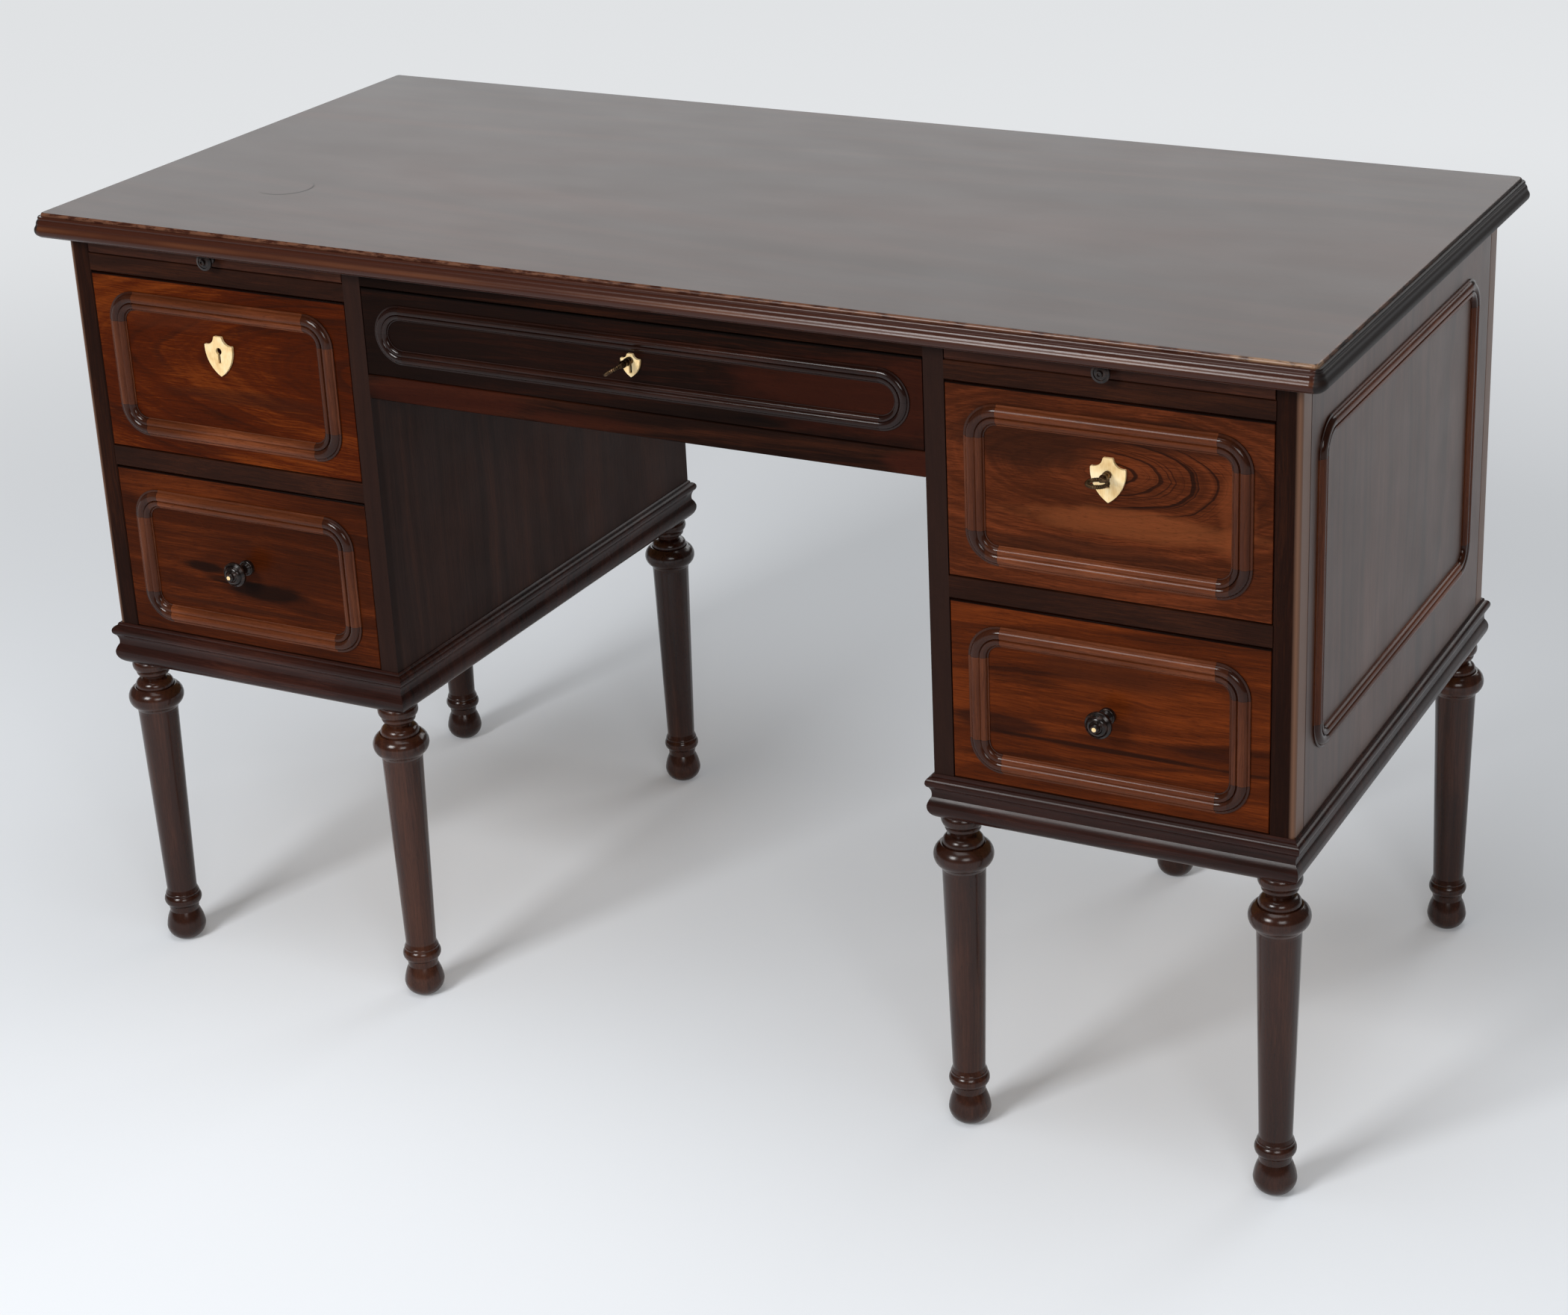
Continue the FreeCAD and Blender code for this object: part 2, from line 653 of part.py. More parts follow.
def drawer_front(name, width, height, sockets, lock=None, knob=None):
    body = new_body(f"{name}_front")
    half_width = f"({width} / 2 - front_gap)"
    face = rectangle(f"-{half_width}", "front_gap", half_width, f"{height} - front_gap")
    pad(body, outline(sketch_on(body, "XZ"), face), "front_thickness", reverse=True)
    cut_sockets(body, half_width, sockets)
    groove = rectangle("front_thickness - groove_depth", "groove_height", "front_thickness", groove_top)
    groove_length = f"2 * ({half_width} - lining_thickness + groove_depth)"
    pocket(body, outline(sketch_on(body, "YZ"), groove), groove_length, midplane=True)
    if lock:
        lock_x, key_height = lock
        bed = rectangle(f"{lock_x} - lock_width / 2", f"{key_height} - lock_foot",
                        f"{lock_x} + lock_width / 2", f"{height} - front_gap")
        pocket(body, outline(sketch_on(body, "XZ", "-front_thickness"), bed), "lock_depth", reverse=True)
        keyhole = shift(keyhole_points(key_height), lock_x)
        pocket(body, outline(sketch_on(body, "XZ"), keyhole), "front_thickness")
    if knob:
        round_hole(body, "0", knob, "knob_shank_radius + dowel_clearance",
                   "front_thickness - lining_thickness / 2")
    return body


def drawer_side(name, width, side_height, front_tails, back_tails):
    """The right side of a drawer, dovetailed at both ends and grooved for the bottom."""
    body = new_body(f"{name}_side")
    top = f"running_gap + {side_height}"
    points = [(front_shoulder, "running_gap"), (back_shoulder, "running_gap")]
    for tail in back_tails:
        points += tail
    points += [(back_shoulder, top), (front_shoulder, top)]
    for tail in reversed(front_tails):
        points += list(reversed(tail))
    pad(body, outline(sketch_on(body, "YZ"), points), "lining_thickness")
    groove = rectangle(front_tip, "groove_height", drawer_depth, groove_top)
    pocket(body, outline(sketch_on(body, "YZ"), groove), "groove_depth", reverse=True)
    return place(body, (f"{width} / 2 - front_gap - lining_thickness", "0", "0"))


def drawer_back(name, width, side_height, sockets):
    body = new_body(f"{name}_back")
    half_width = f"({width} / 2 - front_gap)"
    face = rectangle(f"-{half_width}", groove_top, half_width, f"{side_height} - back_drop")
    pad(body, outline(sketch_on(body, "XZ", f"-{back_face}"), face), "lining_thickness", reverse=True)
    cut_sockets(body, half_width, sockets)
    return body


def drawer(name, width, height, count, lock=None, knob=None):
    """Front, dovetailed lining and bottom of one drawer, as separate pieces."""
    side_height = f"({height} - side_drop)"
    front_tails = tail_points(count, side_height, front_shoulder, front_tip)
    back_tails = tail_points(count, side_height, back_shoulder, drawer_depth)
    front_sockets = tail_points(count, side_height, "front_thickness", f"({front_tip} - joint_gap)",
                                "joint_gap")
    back_sockets = tail_points(count, side_height, back_face, f"({drawer_depth} + joint_gap)", "joint_gap")
    side = drawer_side(name, width, side_height, front_tails, back_tails)
    lining = [side, mirrored(side, f"{name}_side_far", "x"),
              drawer_back(name, width, side_height, back_sockets)]
    reach = f"({width} / 2 - front_gap - lining_thickness + groove_depth)"
    bottom = board(f"{name}_bottom", (f"-{reach}", "front_thickness - groove_depth", "groove_height"),
                   (reach, drawer_depth, groove_top))
    return {"front": drawer_front(name, width, height, front_sockets, lock, knob),
            "lining": group(f"{name}_lining", lining), "bottom": bottom}


def set_in_place(pieces, position):
    """Carry pieces that share one frame to their place in the desk."""
    return {name: place(group(f"{piece.Name}_set", [piece]), position) for name, piece in pieces.items()}


# Shield escutcheon. Shares of half its width and of its height, up from the tip.
shield_shares = [(0, 0, -0.12), (1, 0.765), (0.97, 0.785, 0.07), (0.3, 0.97), (0.25, 1), (-0.25, 1),
                 (-0.3, 0.97, 0.07), (-0.97, 0.785), (-1, 0.765, -0.12)]
keyhole_rise_share = 0.636
centre_keyhole_rise_share = 0.727


def escutcheon(name, width, height, key_height, tip, lock_x):
    body = new_body(name)
    points = []
    for across, up, *bulge in shield_shares:
        point = [f"{lock_x} + {across} * {width} / 2", f"{tip} + {up} * {height}"]
        points.append(tuple(point + [f"{share} * {height}" for share in bulge]))
    pad(body, outline(sketch_on(body, "XZ"), points), "shield_thickness")
    keyhole = shift(keyhole_points(key_height), lock_x)
    pocket(body, outline(sketch_on(body, "XZ"), keyhole), "shield_thickness", reverse=True)
    return body


def lock_case(name, height, key_height, lock_x):
    """An open-backed iron box with a keyhole in its plate and a slot for the bolt in its top edge."""
    body = new_body(name)
    low = f"({key_height} - lock_foot)"
    high = f"({height} - front_gap)"
    half = "(lock_width / 2)"
    box = rectangle(f"{lock_x} - {half}", low, f"{lock_x} + {half}", high)
    pad(body, outline(sketch_on(body, "XZ", "-front_thickness"), box), "lock_depth")
    hollow = rectangle(f"{lock_x} - {half} + lock_wall", f"{low} + lock_wall",
                       f"{lock_x} + {half} - lock_wall", f"{high} - lock_wall")
    hollow_sketch = outline(sketch_on(body, "XZ", "-front_thickness"), hollow)
    pocket(body, hollow_sketch, "lock_depth - lock_wall", reverse=True)
    keyhole = shift(keyhole_points(key_height), lock_x)
    pocket(body, outline(sketch_on(body, "XZ"), keyhole), "front_thickness")
    bolt_middle = "(front_thickness - lock_depth / 2)"
    slot_half = "(bolt_width / 2 + bolt_clearance)"
    slot_deep = "(bolt_thickness / 2 + bolt_clearance)"
    slot = rectangle(f"{lock_x} - {slot_half}", f"{bolt_middle} - {slot_deep}", f"{lock_x} + {slot_half}",
                     f"{bolt_middle} + {slot_deep}")
    pocket(body, outline(sketch_on(body, "XY", high), slot), "2 * lock_wall")
    return body


def lock_cap(name, height, key_height, lock_x):
    """The plate that closes the lock's back, let into its rim."""
    low = f"({key_height} - lock_foot + lock_wall)"
    half = "(lock_width / 2 - lock_wall)"
    return board(name, (f"{lock_x} - {half}", "front_thickness - lock_wall", low),
                 (f"{lock_x} + {half}", "front_thickness", f"{height} - front_gap - lock_wall"))


lock_pin_tip = "(front_thickness - lock_depth + lock_wall)"


def lock_pin(name, key_height, lock_x):
    """The pin on the lock's cap that a hollow key turns on."""
    pin = doc.addObject("Part::Cylinder", name)
    bind(pin, "Radius", "lock_pin_radius")
    bind(pin, "Height", f"front_thickness - lock_wall - {lock_pin_tip}")
    return place(pin, (lock_x, "front_thickness - lock_wall", key_height), axis=(1, 0, 0), angle=quarter_turn)


def lock(name, height, key_height, lock_x):
    measures = (height, key_height, lock_x)
    return group(name, [lock_case(f"{name}_case", *measures), lock_cap(f"{name}_cap", *measures),
                        lock_pin(f"{name}_pin", key_height, lock_x)])


def lock_bolt(name, height, key_height, lock_x):
    """The bolt, with a hollow tail that clears the turning bit of the key."""
    body = new_body(name)
    swing = "(bit_reach + 2 * bolt_clearance)"
    top = f"({height} - front_gap - bolt_clearance)"
    foot = f"({key_height} + {swing} / 2)"
    hollow = f"({swing} * sqrt(3) / 2)"
    side = "(bolt_width / 2)"
    points = [(f"{lock_x} - {side}", foot), (f"{lock_x} - {hollow}", foot, f"{swing} / 2"),
              (f"{lock_x} + {hollow}", foot), (f"{lock_x} + {side}", foot), (f"{lock_x} + {side}", top),
              (f"{lock_x} - {side}", top)]
    sketch = outline(sketch_on(body, "XZ", "-(front_thickness - lock_depth / 2)"), points)
    pad(body, sketch, "bolt_thickness", midplane=True)
    return body


# Key stem: collars, neck and root of the bow.
# Shares of the collar's radius and of the key's length out of the drawer's face.
stem_shares = [(0.72, 0.06), (1, 0.1), (1, 0.22), (0.8, 0.26), (0.8, 0.3), (0.95, 0.34), (0.95, 0.4),
               (0.62, 0.45), (0.5, 0.5), (0, 0.5)]


def key(name, reach):
    """A key with its bow flat. Its hollow shank sits on the lock's pin and its bow stands out."""
    inner = "(front_thickness - lock_wall - running_gap)"
    bore = "(lock_pin_radius + lock_pin_clearance)"
    bore_end = f"({lock_pin_tip} - running_gap)"
    points = [(bore, inner), ("key_shank_radius", inner), ("key_shank_radius", "0")]
    points += [(f"{across} * key_collar_radius", f"-{out} * {reach}") for across, out in stem_shares]
    points += [("0", bore_end), (bore, bore_end)]
    stem = turned(f"{name}_stem", "XY", points)
    bow = doc.addObject("Part::Torus", f"{name}_bow")
    bind(bow, "Radius1", "bow_radius - bow_wire_radius")
    bind(bow, "Radius2", "bow_wire_radius")
    place(bow, ("0", f"bow_radius - {reach}", "0"))
    bit_start = "(front_thickness - lock_depth / 2 - bit_length / 2)"
    bit_root = "-(key_shank_radius + lock_pin_radius) / 2"
    bit = board(f"{name}_bit", ("-bit_reach", bit_start, "-bit_thickness / 2"),
                (bit_root, f"{bit_start} + bit_length", "bit_thickness / 2"))
    whole = doc.addObject("Part::MultiFuse", name)
    whole.Shapes = [stem, bow, bit]
    return whole


# Turned drawer knob. Shares of its radius and of its reach out of the drawer's face.
knob_shares = [(0.62, 0), (0.62, 0.08, 0.06), (0.5, 0.13), (0.36, 0.2), (0.34, 0.42), (0.44, 0.5),
               (0.9, 0.58, 0.03), (0.99, 0.64, 0.03), (0.97, 0.71), (0.82, 0.76), (0.78, 0.745), (0.74, 0.77, 0.04),
               (0.5, 0.85), (0.46, 0.83), (0.36, 0.87, 0.03), (0.3, 0.96), (0.26, 0.985), (0.17, 0.985)]
dot_floor_share = 0.93
dot_rim_share = 0.985


def drawer_knob(name, height):
    shank_end = "front_thickness - lining_thickness"
    points = [("0", shank_end), ("knob_shank_radius", shank_end), ("knob_shank_radius", "0")]
    for across, out, *bulge in knob_shares:
        point = [f"{across} * knob_radius", f"-{out} * knob_reach"]
        points.append(tuple(point + [f"{share} * knob_radius" for share in bulge]))
    floor = f"-{dot_floor_share} * knob_reach"
    points += [("knob_dot_radius", floor), ("0", floor)]
    return place(turned(name, "XY", points), ("0", "0", height))


def knob_dot(name, height):
    """The bone dot let into the knob's face."""
    floor = f"-{dot_floor_share} * knob_reach"
    points = [("0", floor), ("knob_dot_radius", floor), ("knob_dot_radius", f"-{dot_rim_share} * knob_reach"),
              ("0", "-knob_reach")]
    return place(turned(name, "XY", points), ("0", "0", height))


# Slide knob: a stepped disc on a short neck. Shares of its radius and of its reach.
slide_knob_shares = [(0.5, 0), (0.5, 0.15), (0.32, 0.25), (0.32, 0.5), (0.9, 0.6), (1, 0.66), (1, 0.78),
                     (0.72, 0.84), (0.68, 0.8), (0.38, 0.84), (0.34, 1), (0.2, 1), (0.16, 0.92), (0, 0.92)]
slide_knob_shank = "(slide_knob_radius / 4)"


def slide_knob(name, height):
    points = [("0", "lipping_depth / 2"), (slide_knob_shank, "lipping_depth / 2"), (slide_knob_shank, "0")]
    points += [(f"{across} * slide_knob_radius", f"-{out} * slide_knob_reach")
               for across, out in slide_knob_shares]
    return place(turned(name, "XY", points), (opening_centre, front, height))


def writing_slide():
    """The pull-out board under the top, with a lipping along its front edge."""
    low = f"({slide_floor} + running_gap)"
    high = f"({top_underside} - running_gap)"
    lip_back = f"({front} + lipping_depth)"
    body = new_body("slide_lipping")
    half = f"({opening_width} / 2 - front_gap)"
    face = rectangle(f"-{half}", "0", half, f"{high} - {low}")
    pad(body, outline(sketch_on(body, "XZ"), face), "lipping_depth", reverse=True)
    round_hole(body, "0", f"({high} - {low}) / 2", f"{slide_knob_shank} + dowel_clearance",
               "lipping_depth / 2 + dowel_clearance")
    place(body, (opening_centre, front, low))
    panel = board("slide_panel", (f"{opening_start} + front_gap", lip_back, low),
                  (f"{opening_end} - front_gap", f"{front} + {slide_depth}", high))
    return group("slide", [body, panel])


both_sides("slide", writing_slide())
both_sides("slide_knob", slide_knob("slide_knob", f"({slide_floor} + {top_underside}) / 2"))

# The four pedestal drawers.
drawer_lock = ("lock_offset", "top_key_height")
top_position = (opening_centre, front, top_drawer_floor)
low_position = (opening_centre, front, low_drawer_floor)
centre_position = ("0", front, centre_floor)


def pedestal_frame(name, opening_height, drop="0"):
    """The raised frame on a pedestal drawer's front, at the opening's mid-height less a drop."""
    width = f"({opening_width} - 2 * frame_side_margin)"
    height = f"({opening_height} - 2 * front_gap - 2 * frame_margin)"
    frame = raised_frame(name, width, height, "frame_width", "frame_corner_radius")
    return place(frame, ("0", "0", f"{opening_height} / 2 - {drop}"))


top_drawer = drawer("top_drawer", opening_width, "top_drawer_opening", 4, lock=drawer_lock)
top_drawer["frame"] = pedestal_frame("top_drawer_frame", "top_drawer_opening")
top_tip = f"(top_key_height - {keyhole_rise_share} * shield_height)"
top_drawer["escutcheon"] = escutcheon("top_drawer_escutcheon", "shield_width", "shield_height",
                                      "top_key_height", top_tip, "lock_offset")
top_lock = ("top_drawer_opening", "top_key_height", "lock_offset")
top_drawer["lock"] = lock("top_drawer_lock", *top_lock)
top_drawer["bolt"] = lock_bolt("top_drawer_bolt", *top_lock)
for part, piece in set_in_place(top_drawer, top_position).items():
    both_sides(f"top_drawer_{part}", piece)

low_drawer = drawer("low_drawer", opening_width, "low_drawer_opening", 4, knob="knob_height")
low_drawer["frame"] = pedestal_frame("low_drawer_frame", "low_drawer_opening", "low_frame_drop")
low_drawer["knob"] = drawer_knob("low_drawer_knob", "knob_height")
low_drawer["knob_dot"] = knob_dot("low_drawer_knob_dot", "knob_height")
for part, piece in set_in_place(low_drawer, low_position).items():
    both_sides(f"low_drawer_{part}", piece)

# The middle drawer, with its round-ended frame.
centre_width = f"(2 * {knee_half_width})"
centre_drawer = drawer("centre_drawer", centre_width, "centre_drawer_opening", 2,
                       lock=("0", "centre_key_height"))
centre_frame = raised_frame("centre_drawer_frame", f"({centre_width} - 2 * centre_frame_margin)",
                            "centre_frame_height", "centre_frame_width",
                            "((centre_frame_height - joint_gap) / 2)", round_ends=True)
centre_drawer["frame"] = place(centre_frame, ("0", "0", "centre_drawer_opening / 2"))
centre_tip = f"(centre_key_height - {centre_keyhole_rise_share} * centre_shield_height)"
centre_drawer["escutcheon"] = escutcheon("centre_drawer_escutcheon", "centre_shield_width",
                                         "centre_shield_height", "centre_key_height", centre_tip, "0")
centre_lock = ("centre_drawer_opening", "centre_key_height", "0")
centre_drawer["lock"] = lock("centre_drawer_lock", *centre_lock)
centre_drawer["bolt"] = lock_bolt("centre_drawer_bolt", *centre_lock)
for part, piece in set_in_place(centre_drawer, centre_position).items():
    node(f"centre_drawer_{part}", piece)

node("key_right", place(key("right_key", "right_key_reach"),
                        (f"{opening_centre} + lock_offset", front, f"{top_drawer_floor} + top_key_height")))
node("key_centre", place(key("centre_key", "key_reach"), ("0", front, f"{centre_floor} + centre_key_height"),
                         axis=(0, 1, 0), angle=centre_key_turn))


def stop_block(name, side_x, floor):
    """A block on a rail that meets the back of the drawer's front when the drawer is closed."""
    start = f"{front} + front_thickness + running_gap"
    return board(name, (f"{side_x} - stop_width / 2", start, floor),
                 (f"{side_x} + stop_width / 2", f"{start} + stop_depth", f"{floor} + stop_height"))


quarter_width = f"({opening_width} / 4)"
stops = [stop_block(f"stop_{level}_{side}", f"{opening_centre} {sign} {quarter_width}", floor)
         for level, floor in (("top", top_drawer_floor), ("low", low_drawer_floor))
         for side, sign in (("inner", "-"), ("outer", "+"))]
stops.append(stop_block("stop_centre", f"{knee_half_width} / 2", centre_floor))
stops += [mirrored(block, f"{block.Name}_left", "x") for block in list(stops)]
node("drawer_stops", group("drawer_stops", stops))

doc.recompute()

for item in doc.Objects:
    if "Invalid" in item.State or "Error" in item.State:
        raise ValueError(f"{item.Label} is in state {item.State}")
for label, piece in nodes.items():
    if piece.Shape.isNull() or not piece.Shape.isValid():
        raise ValueError(f"{label} has no sound shape")

os.makedirs("parts", exist_ok=True)
for label, piece in nodes.items():
    piece.Shape.exportStep(f"parts/{label}.step")
    print(f"{label}: {len(piece.Shape.Solids)} solids, {piece.Shape.Volume / 1000:.1f} cm3")
print(f"{len(nodes)} parts")
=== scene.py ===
import json
import math
import bmesh
import bpy
import numpy as np
from mathutils import Matrix, Vector


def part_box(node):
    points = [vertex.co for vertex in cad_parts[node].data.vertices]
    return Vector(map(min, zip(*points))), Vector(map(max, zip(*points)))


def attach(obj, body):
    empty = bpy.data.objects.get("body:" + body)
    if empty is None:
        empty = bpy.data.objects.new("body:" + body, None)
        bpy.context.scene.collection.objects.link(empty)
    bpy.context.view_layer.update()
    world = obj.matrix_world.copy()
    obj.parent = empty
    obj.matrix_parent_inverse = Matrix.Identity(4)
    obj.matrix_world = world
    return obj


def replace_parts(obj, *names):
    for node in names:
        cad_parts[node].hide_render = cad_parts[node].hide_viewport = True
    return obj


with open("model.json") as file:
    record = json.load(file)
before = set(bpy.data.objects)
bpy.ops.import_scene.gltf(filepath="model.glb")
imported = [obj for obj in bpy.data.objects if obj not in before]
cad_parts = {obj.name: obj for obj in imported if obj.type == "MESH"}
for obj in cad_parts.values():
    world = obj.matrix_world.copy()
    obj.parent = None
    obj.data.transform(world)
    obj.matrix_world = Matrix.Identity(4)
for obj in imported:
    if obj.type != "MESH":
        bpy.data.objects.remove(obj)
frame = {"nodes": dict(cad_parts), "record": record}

# A pedestal writing desk in French-polished rosewood. Metres, X to the right, Y to the back, Z up.
scene = bpy.context.scene
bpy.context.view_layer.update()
print("frame loaded:", len(frame["nodes"]), "nodes")
mm = 0.001


def colour(hexCode):
    # sRGB hex to linear: below 0.04045 a straight line, above it a power of 2.4
    parts = np.array([int(hexCode[i:i + 2], 16) for i in (1, 3, 5)]) / 255
    linear = np.where(parts <= 0.04045, parts / 12.92, ((parts + 0.055) / 1.055) ** 2.4)
    return (*linear.tolist(), 1.0)


def perMetre(*sizes):
    # how many cells of a pattern go into a metre along each axis, from one cell's sizes in mm
    return [1 / (size * mm) for size in sizes]


def addNode(tree, kind, inputs=None, out=0, stops=(), **settings):
    # adds a node with its settings; an input is a plain value or the socket that feeds it, stops are a
    # ramp's (place, hex colour) from dark to light, and out picks the output to give, or the node if None
    node = tree.nodes.new(f"ShaderNode{kind}")
    for key, value in settings.items():
        setattr(node, key, value)
    for key, value in (inputs or {}).items():
        if isinstance(value, bpy.types.NodeSocket):
            tree.links.new(value, node.inputs[key])
        else:
            node.inputs[key].default_value = value
    if stops:
        elements = node.color_ramp.elements
        elements.remove(elements[-1])
        elements[0].position, elements[0].color = stops[0][0], colour(stops[0][1])
        for place, hexCode in stops[1:]:
            elements.new(place).color = colour(hexCode)
    return node if out is None else node.outputs[out]


def newMaterial(name):
    # a material with its shader, and the place on the object that its patterns follow
    material = bpy.data.materials.new(name)
    material.use_nodes = True
    tree = material.node_tree
    tree.nodes.clear()
    shader = addNode(tree, "BsdfPrincipled", out=None)
    addNode(tree, "OutputMaterial", {0: shader.outputs[0]}, out=None)
    return material, tree, shader, addNode(tree, "TexCoord", out="Object")


def stain(tree, shader, mask, hexCode, share=1.0):
    # lays a colour over what the shader has, where the mask is
    before = shader.inputs["Base Color"].links[0].from_socket
    amount = addNode(tree, "Math", {0: mask, 1: share}, operation="MULTIPLY", use_clamp=True)
    mixed = addNode(tree, "Mix", {0: amount, 6: before, 7: colour(hexCode)}, out=2, data_type="RGBA")
    tree.links.new(mixed, shader.inputs["Base Color"])


def finishOver(material, mask, hexCode, share, roughness=None, coat=None, coatRoughness=0.1):
    # another colour, and where given another gloss, over a finished wood where mask(tree, place) is 1
    tree = material.node_tree
    shader = next(node for node in tree.nodes if node.type == "BSDF_PRINCIPLED")
    place = next(node for node in tree.nodes if node.type == "TEX_COORD").outputs["Object"]
    amount = mask(tree, place)
    stain(tree, shader, amount, hexCode, share)
    if roughness is not None:
        before = shader.inputs["Roughness"].links[0].from_socket
        mixed = addNode(tree, "Mix", {0: amount, 2: before, 3: roughness})
        tree.links.new(mixed, shader.inputs["Roughness"])
    if coat:
        weight = addNode(tree, "Math", {0: amount, 1: coat}, operation="MULTIPLY")
        tree.links.new(weight, shader.inputs["Coat Weight"])
        shader.inputs["Coat Roughness"].default_value = coatRoughness
    return material


def patch(tree, place, centre, size, ragged=0.5, cell=12.0, soft=0.35):
    # 1 inside an uneven ellipsoid, 0 outside: the distance in shares of its size, plus noise, below 1;
    # centre, size and the noise's cell are in mm, and the cells are drawn out along X
    away = addNode(tree, "VectorMath", {0: place, 1: [v * mm for v in centre]}, operation="SUBTRACT")
    shares = addNode(tree, "VectorMath", {0: away, 1: perMetre(*size)}, operation="MULTIPLY")
    distance = addNode(tree, "VectorMath", {0: shares}, out="Value", operation="LENGTH")
    noiseAt = addNode(tree, "VectorMath", {0: place, 1: perMetre(cell / 0.3, cell, cell)},
                      operation="MULTIPLY")
    noise = addNode(tree, "TexNoise", {"Vector": noiseAt, "Scale": 1.0, "Detail": 4.0})
    uneven = addNode(tree, "Math", {0: noise, 1: 2 * ragged, 2: distance}, operation="MULTIPLY_ADD")
    limits = {"From Min": 1 + ragged - soft, "From Max": 1 + ragged + soft, "To Min": 1.0, "To Max": 0.0}
    return addNode(tree, "MapRange", {"Value": uneven, **limits}, interpolation_type="SMOOTHSTEP")


def nearTo(tree, value, centre, full, none, **settings):
    # 1 where a value is within full of the centre, falling to 0 at none, all in metres
    away = addNode(tree, "Math", {0: value, 1: centre}, operation="SUBTRACT")
    away = addNode(tree, "Math", {0: away}, operation="ABSOLUTE")
    limits = {"From Min": full, "From Max": none, "To Min": 1.0, "To Max": 0.0}
    return addNode(tree, "MapRange", {"Value": away, **limits}, **settings)


# Rosewood: dark heartwood, scraped, stained and French polished. The eye sees fine fibre along the grain,
# faint growth bands, a few near-black veins that fade in and out, broad clouds, and short open pores.
woodLook = {
    "turn": (0.0, 0.0, 0.0),       # degrees that bring the grain to X
    "pith": (0.0, 300.0, 100.0),   # a point on the tree's middle line, mm
    "lean": (0.0, 0.0),            # degrees by which the middle line leans up and sideways
    "bandWidth": 9.0,              # mm from one growth band to the next
    "warp": 9.0,                   # mm by which the bands wander
    "warpLength": 190.0,           # mm along the grain for one wander
    "band": 0.42,                  # contrast of bands, clouds and fibre
    "cloud": 0.6,
    "fibre": 0.6,
    "cloudSize": (200.0, 70.0),    # mm along and across
    "fibreSize": (55.56, 1.1111),  # mm along and across: bundles, coarser than the real 0.1 mm to show
    "vein": 0.6,                   # how dark the veins are
    "veinRate": 1.0,               # veins for each growth band
    "veinEdge": (0.54, 0.66),      # levels of the noise between which a vein begins
    "veinPlace": None,             # centre and size in mm where the veins show, else in patches of cloud
    "veinCloud": (0.6, 0.42),      # levels of the clouds between which those veins come up
    "veinTone": "#150A06",
    "pore": 0.4,                   # darkness of the pores
    "poreSize": (7.143, 0.5263),   # mm along and across, coarser than the real 3 by 0.2 mm to show
    "poreEdge": (0.6, 0.72),       # levels of the noise between which a pore begins
    "poreTone": "#100806",
    "poreDepth": 0.01,             # mm
    "roughness": 0.3,
    "smear": 0.05,                 # how far the gloss varies
    "smearSize": (111.1, 45.45),   # mm along and across, as a polishing rubber leaves it
    "smearEdge": (0.3, 0.7),       # levels of the noise between which it goes from glossy to dull
    "specular": 0.03,
    "marks": (),                   # single dark or light places: centre, size in mm, colour, share
    "seed": 0.0,                   # another seed, another figure
}


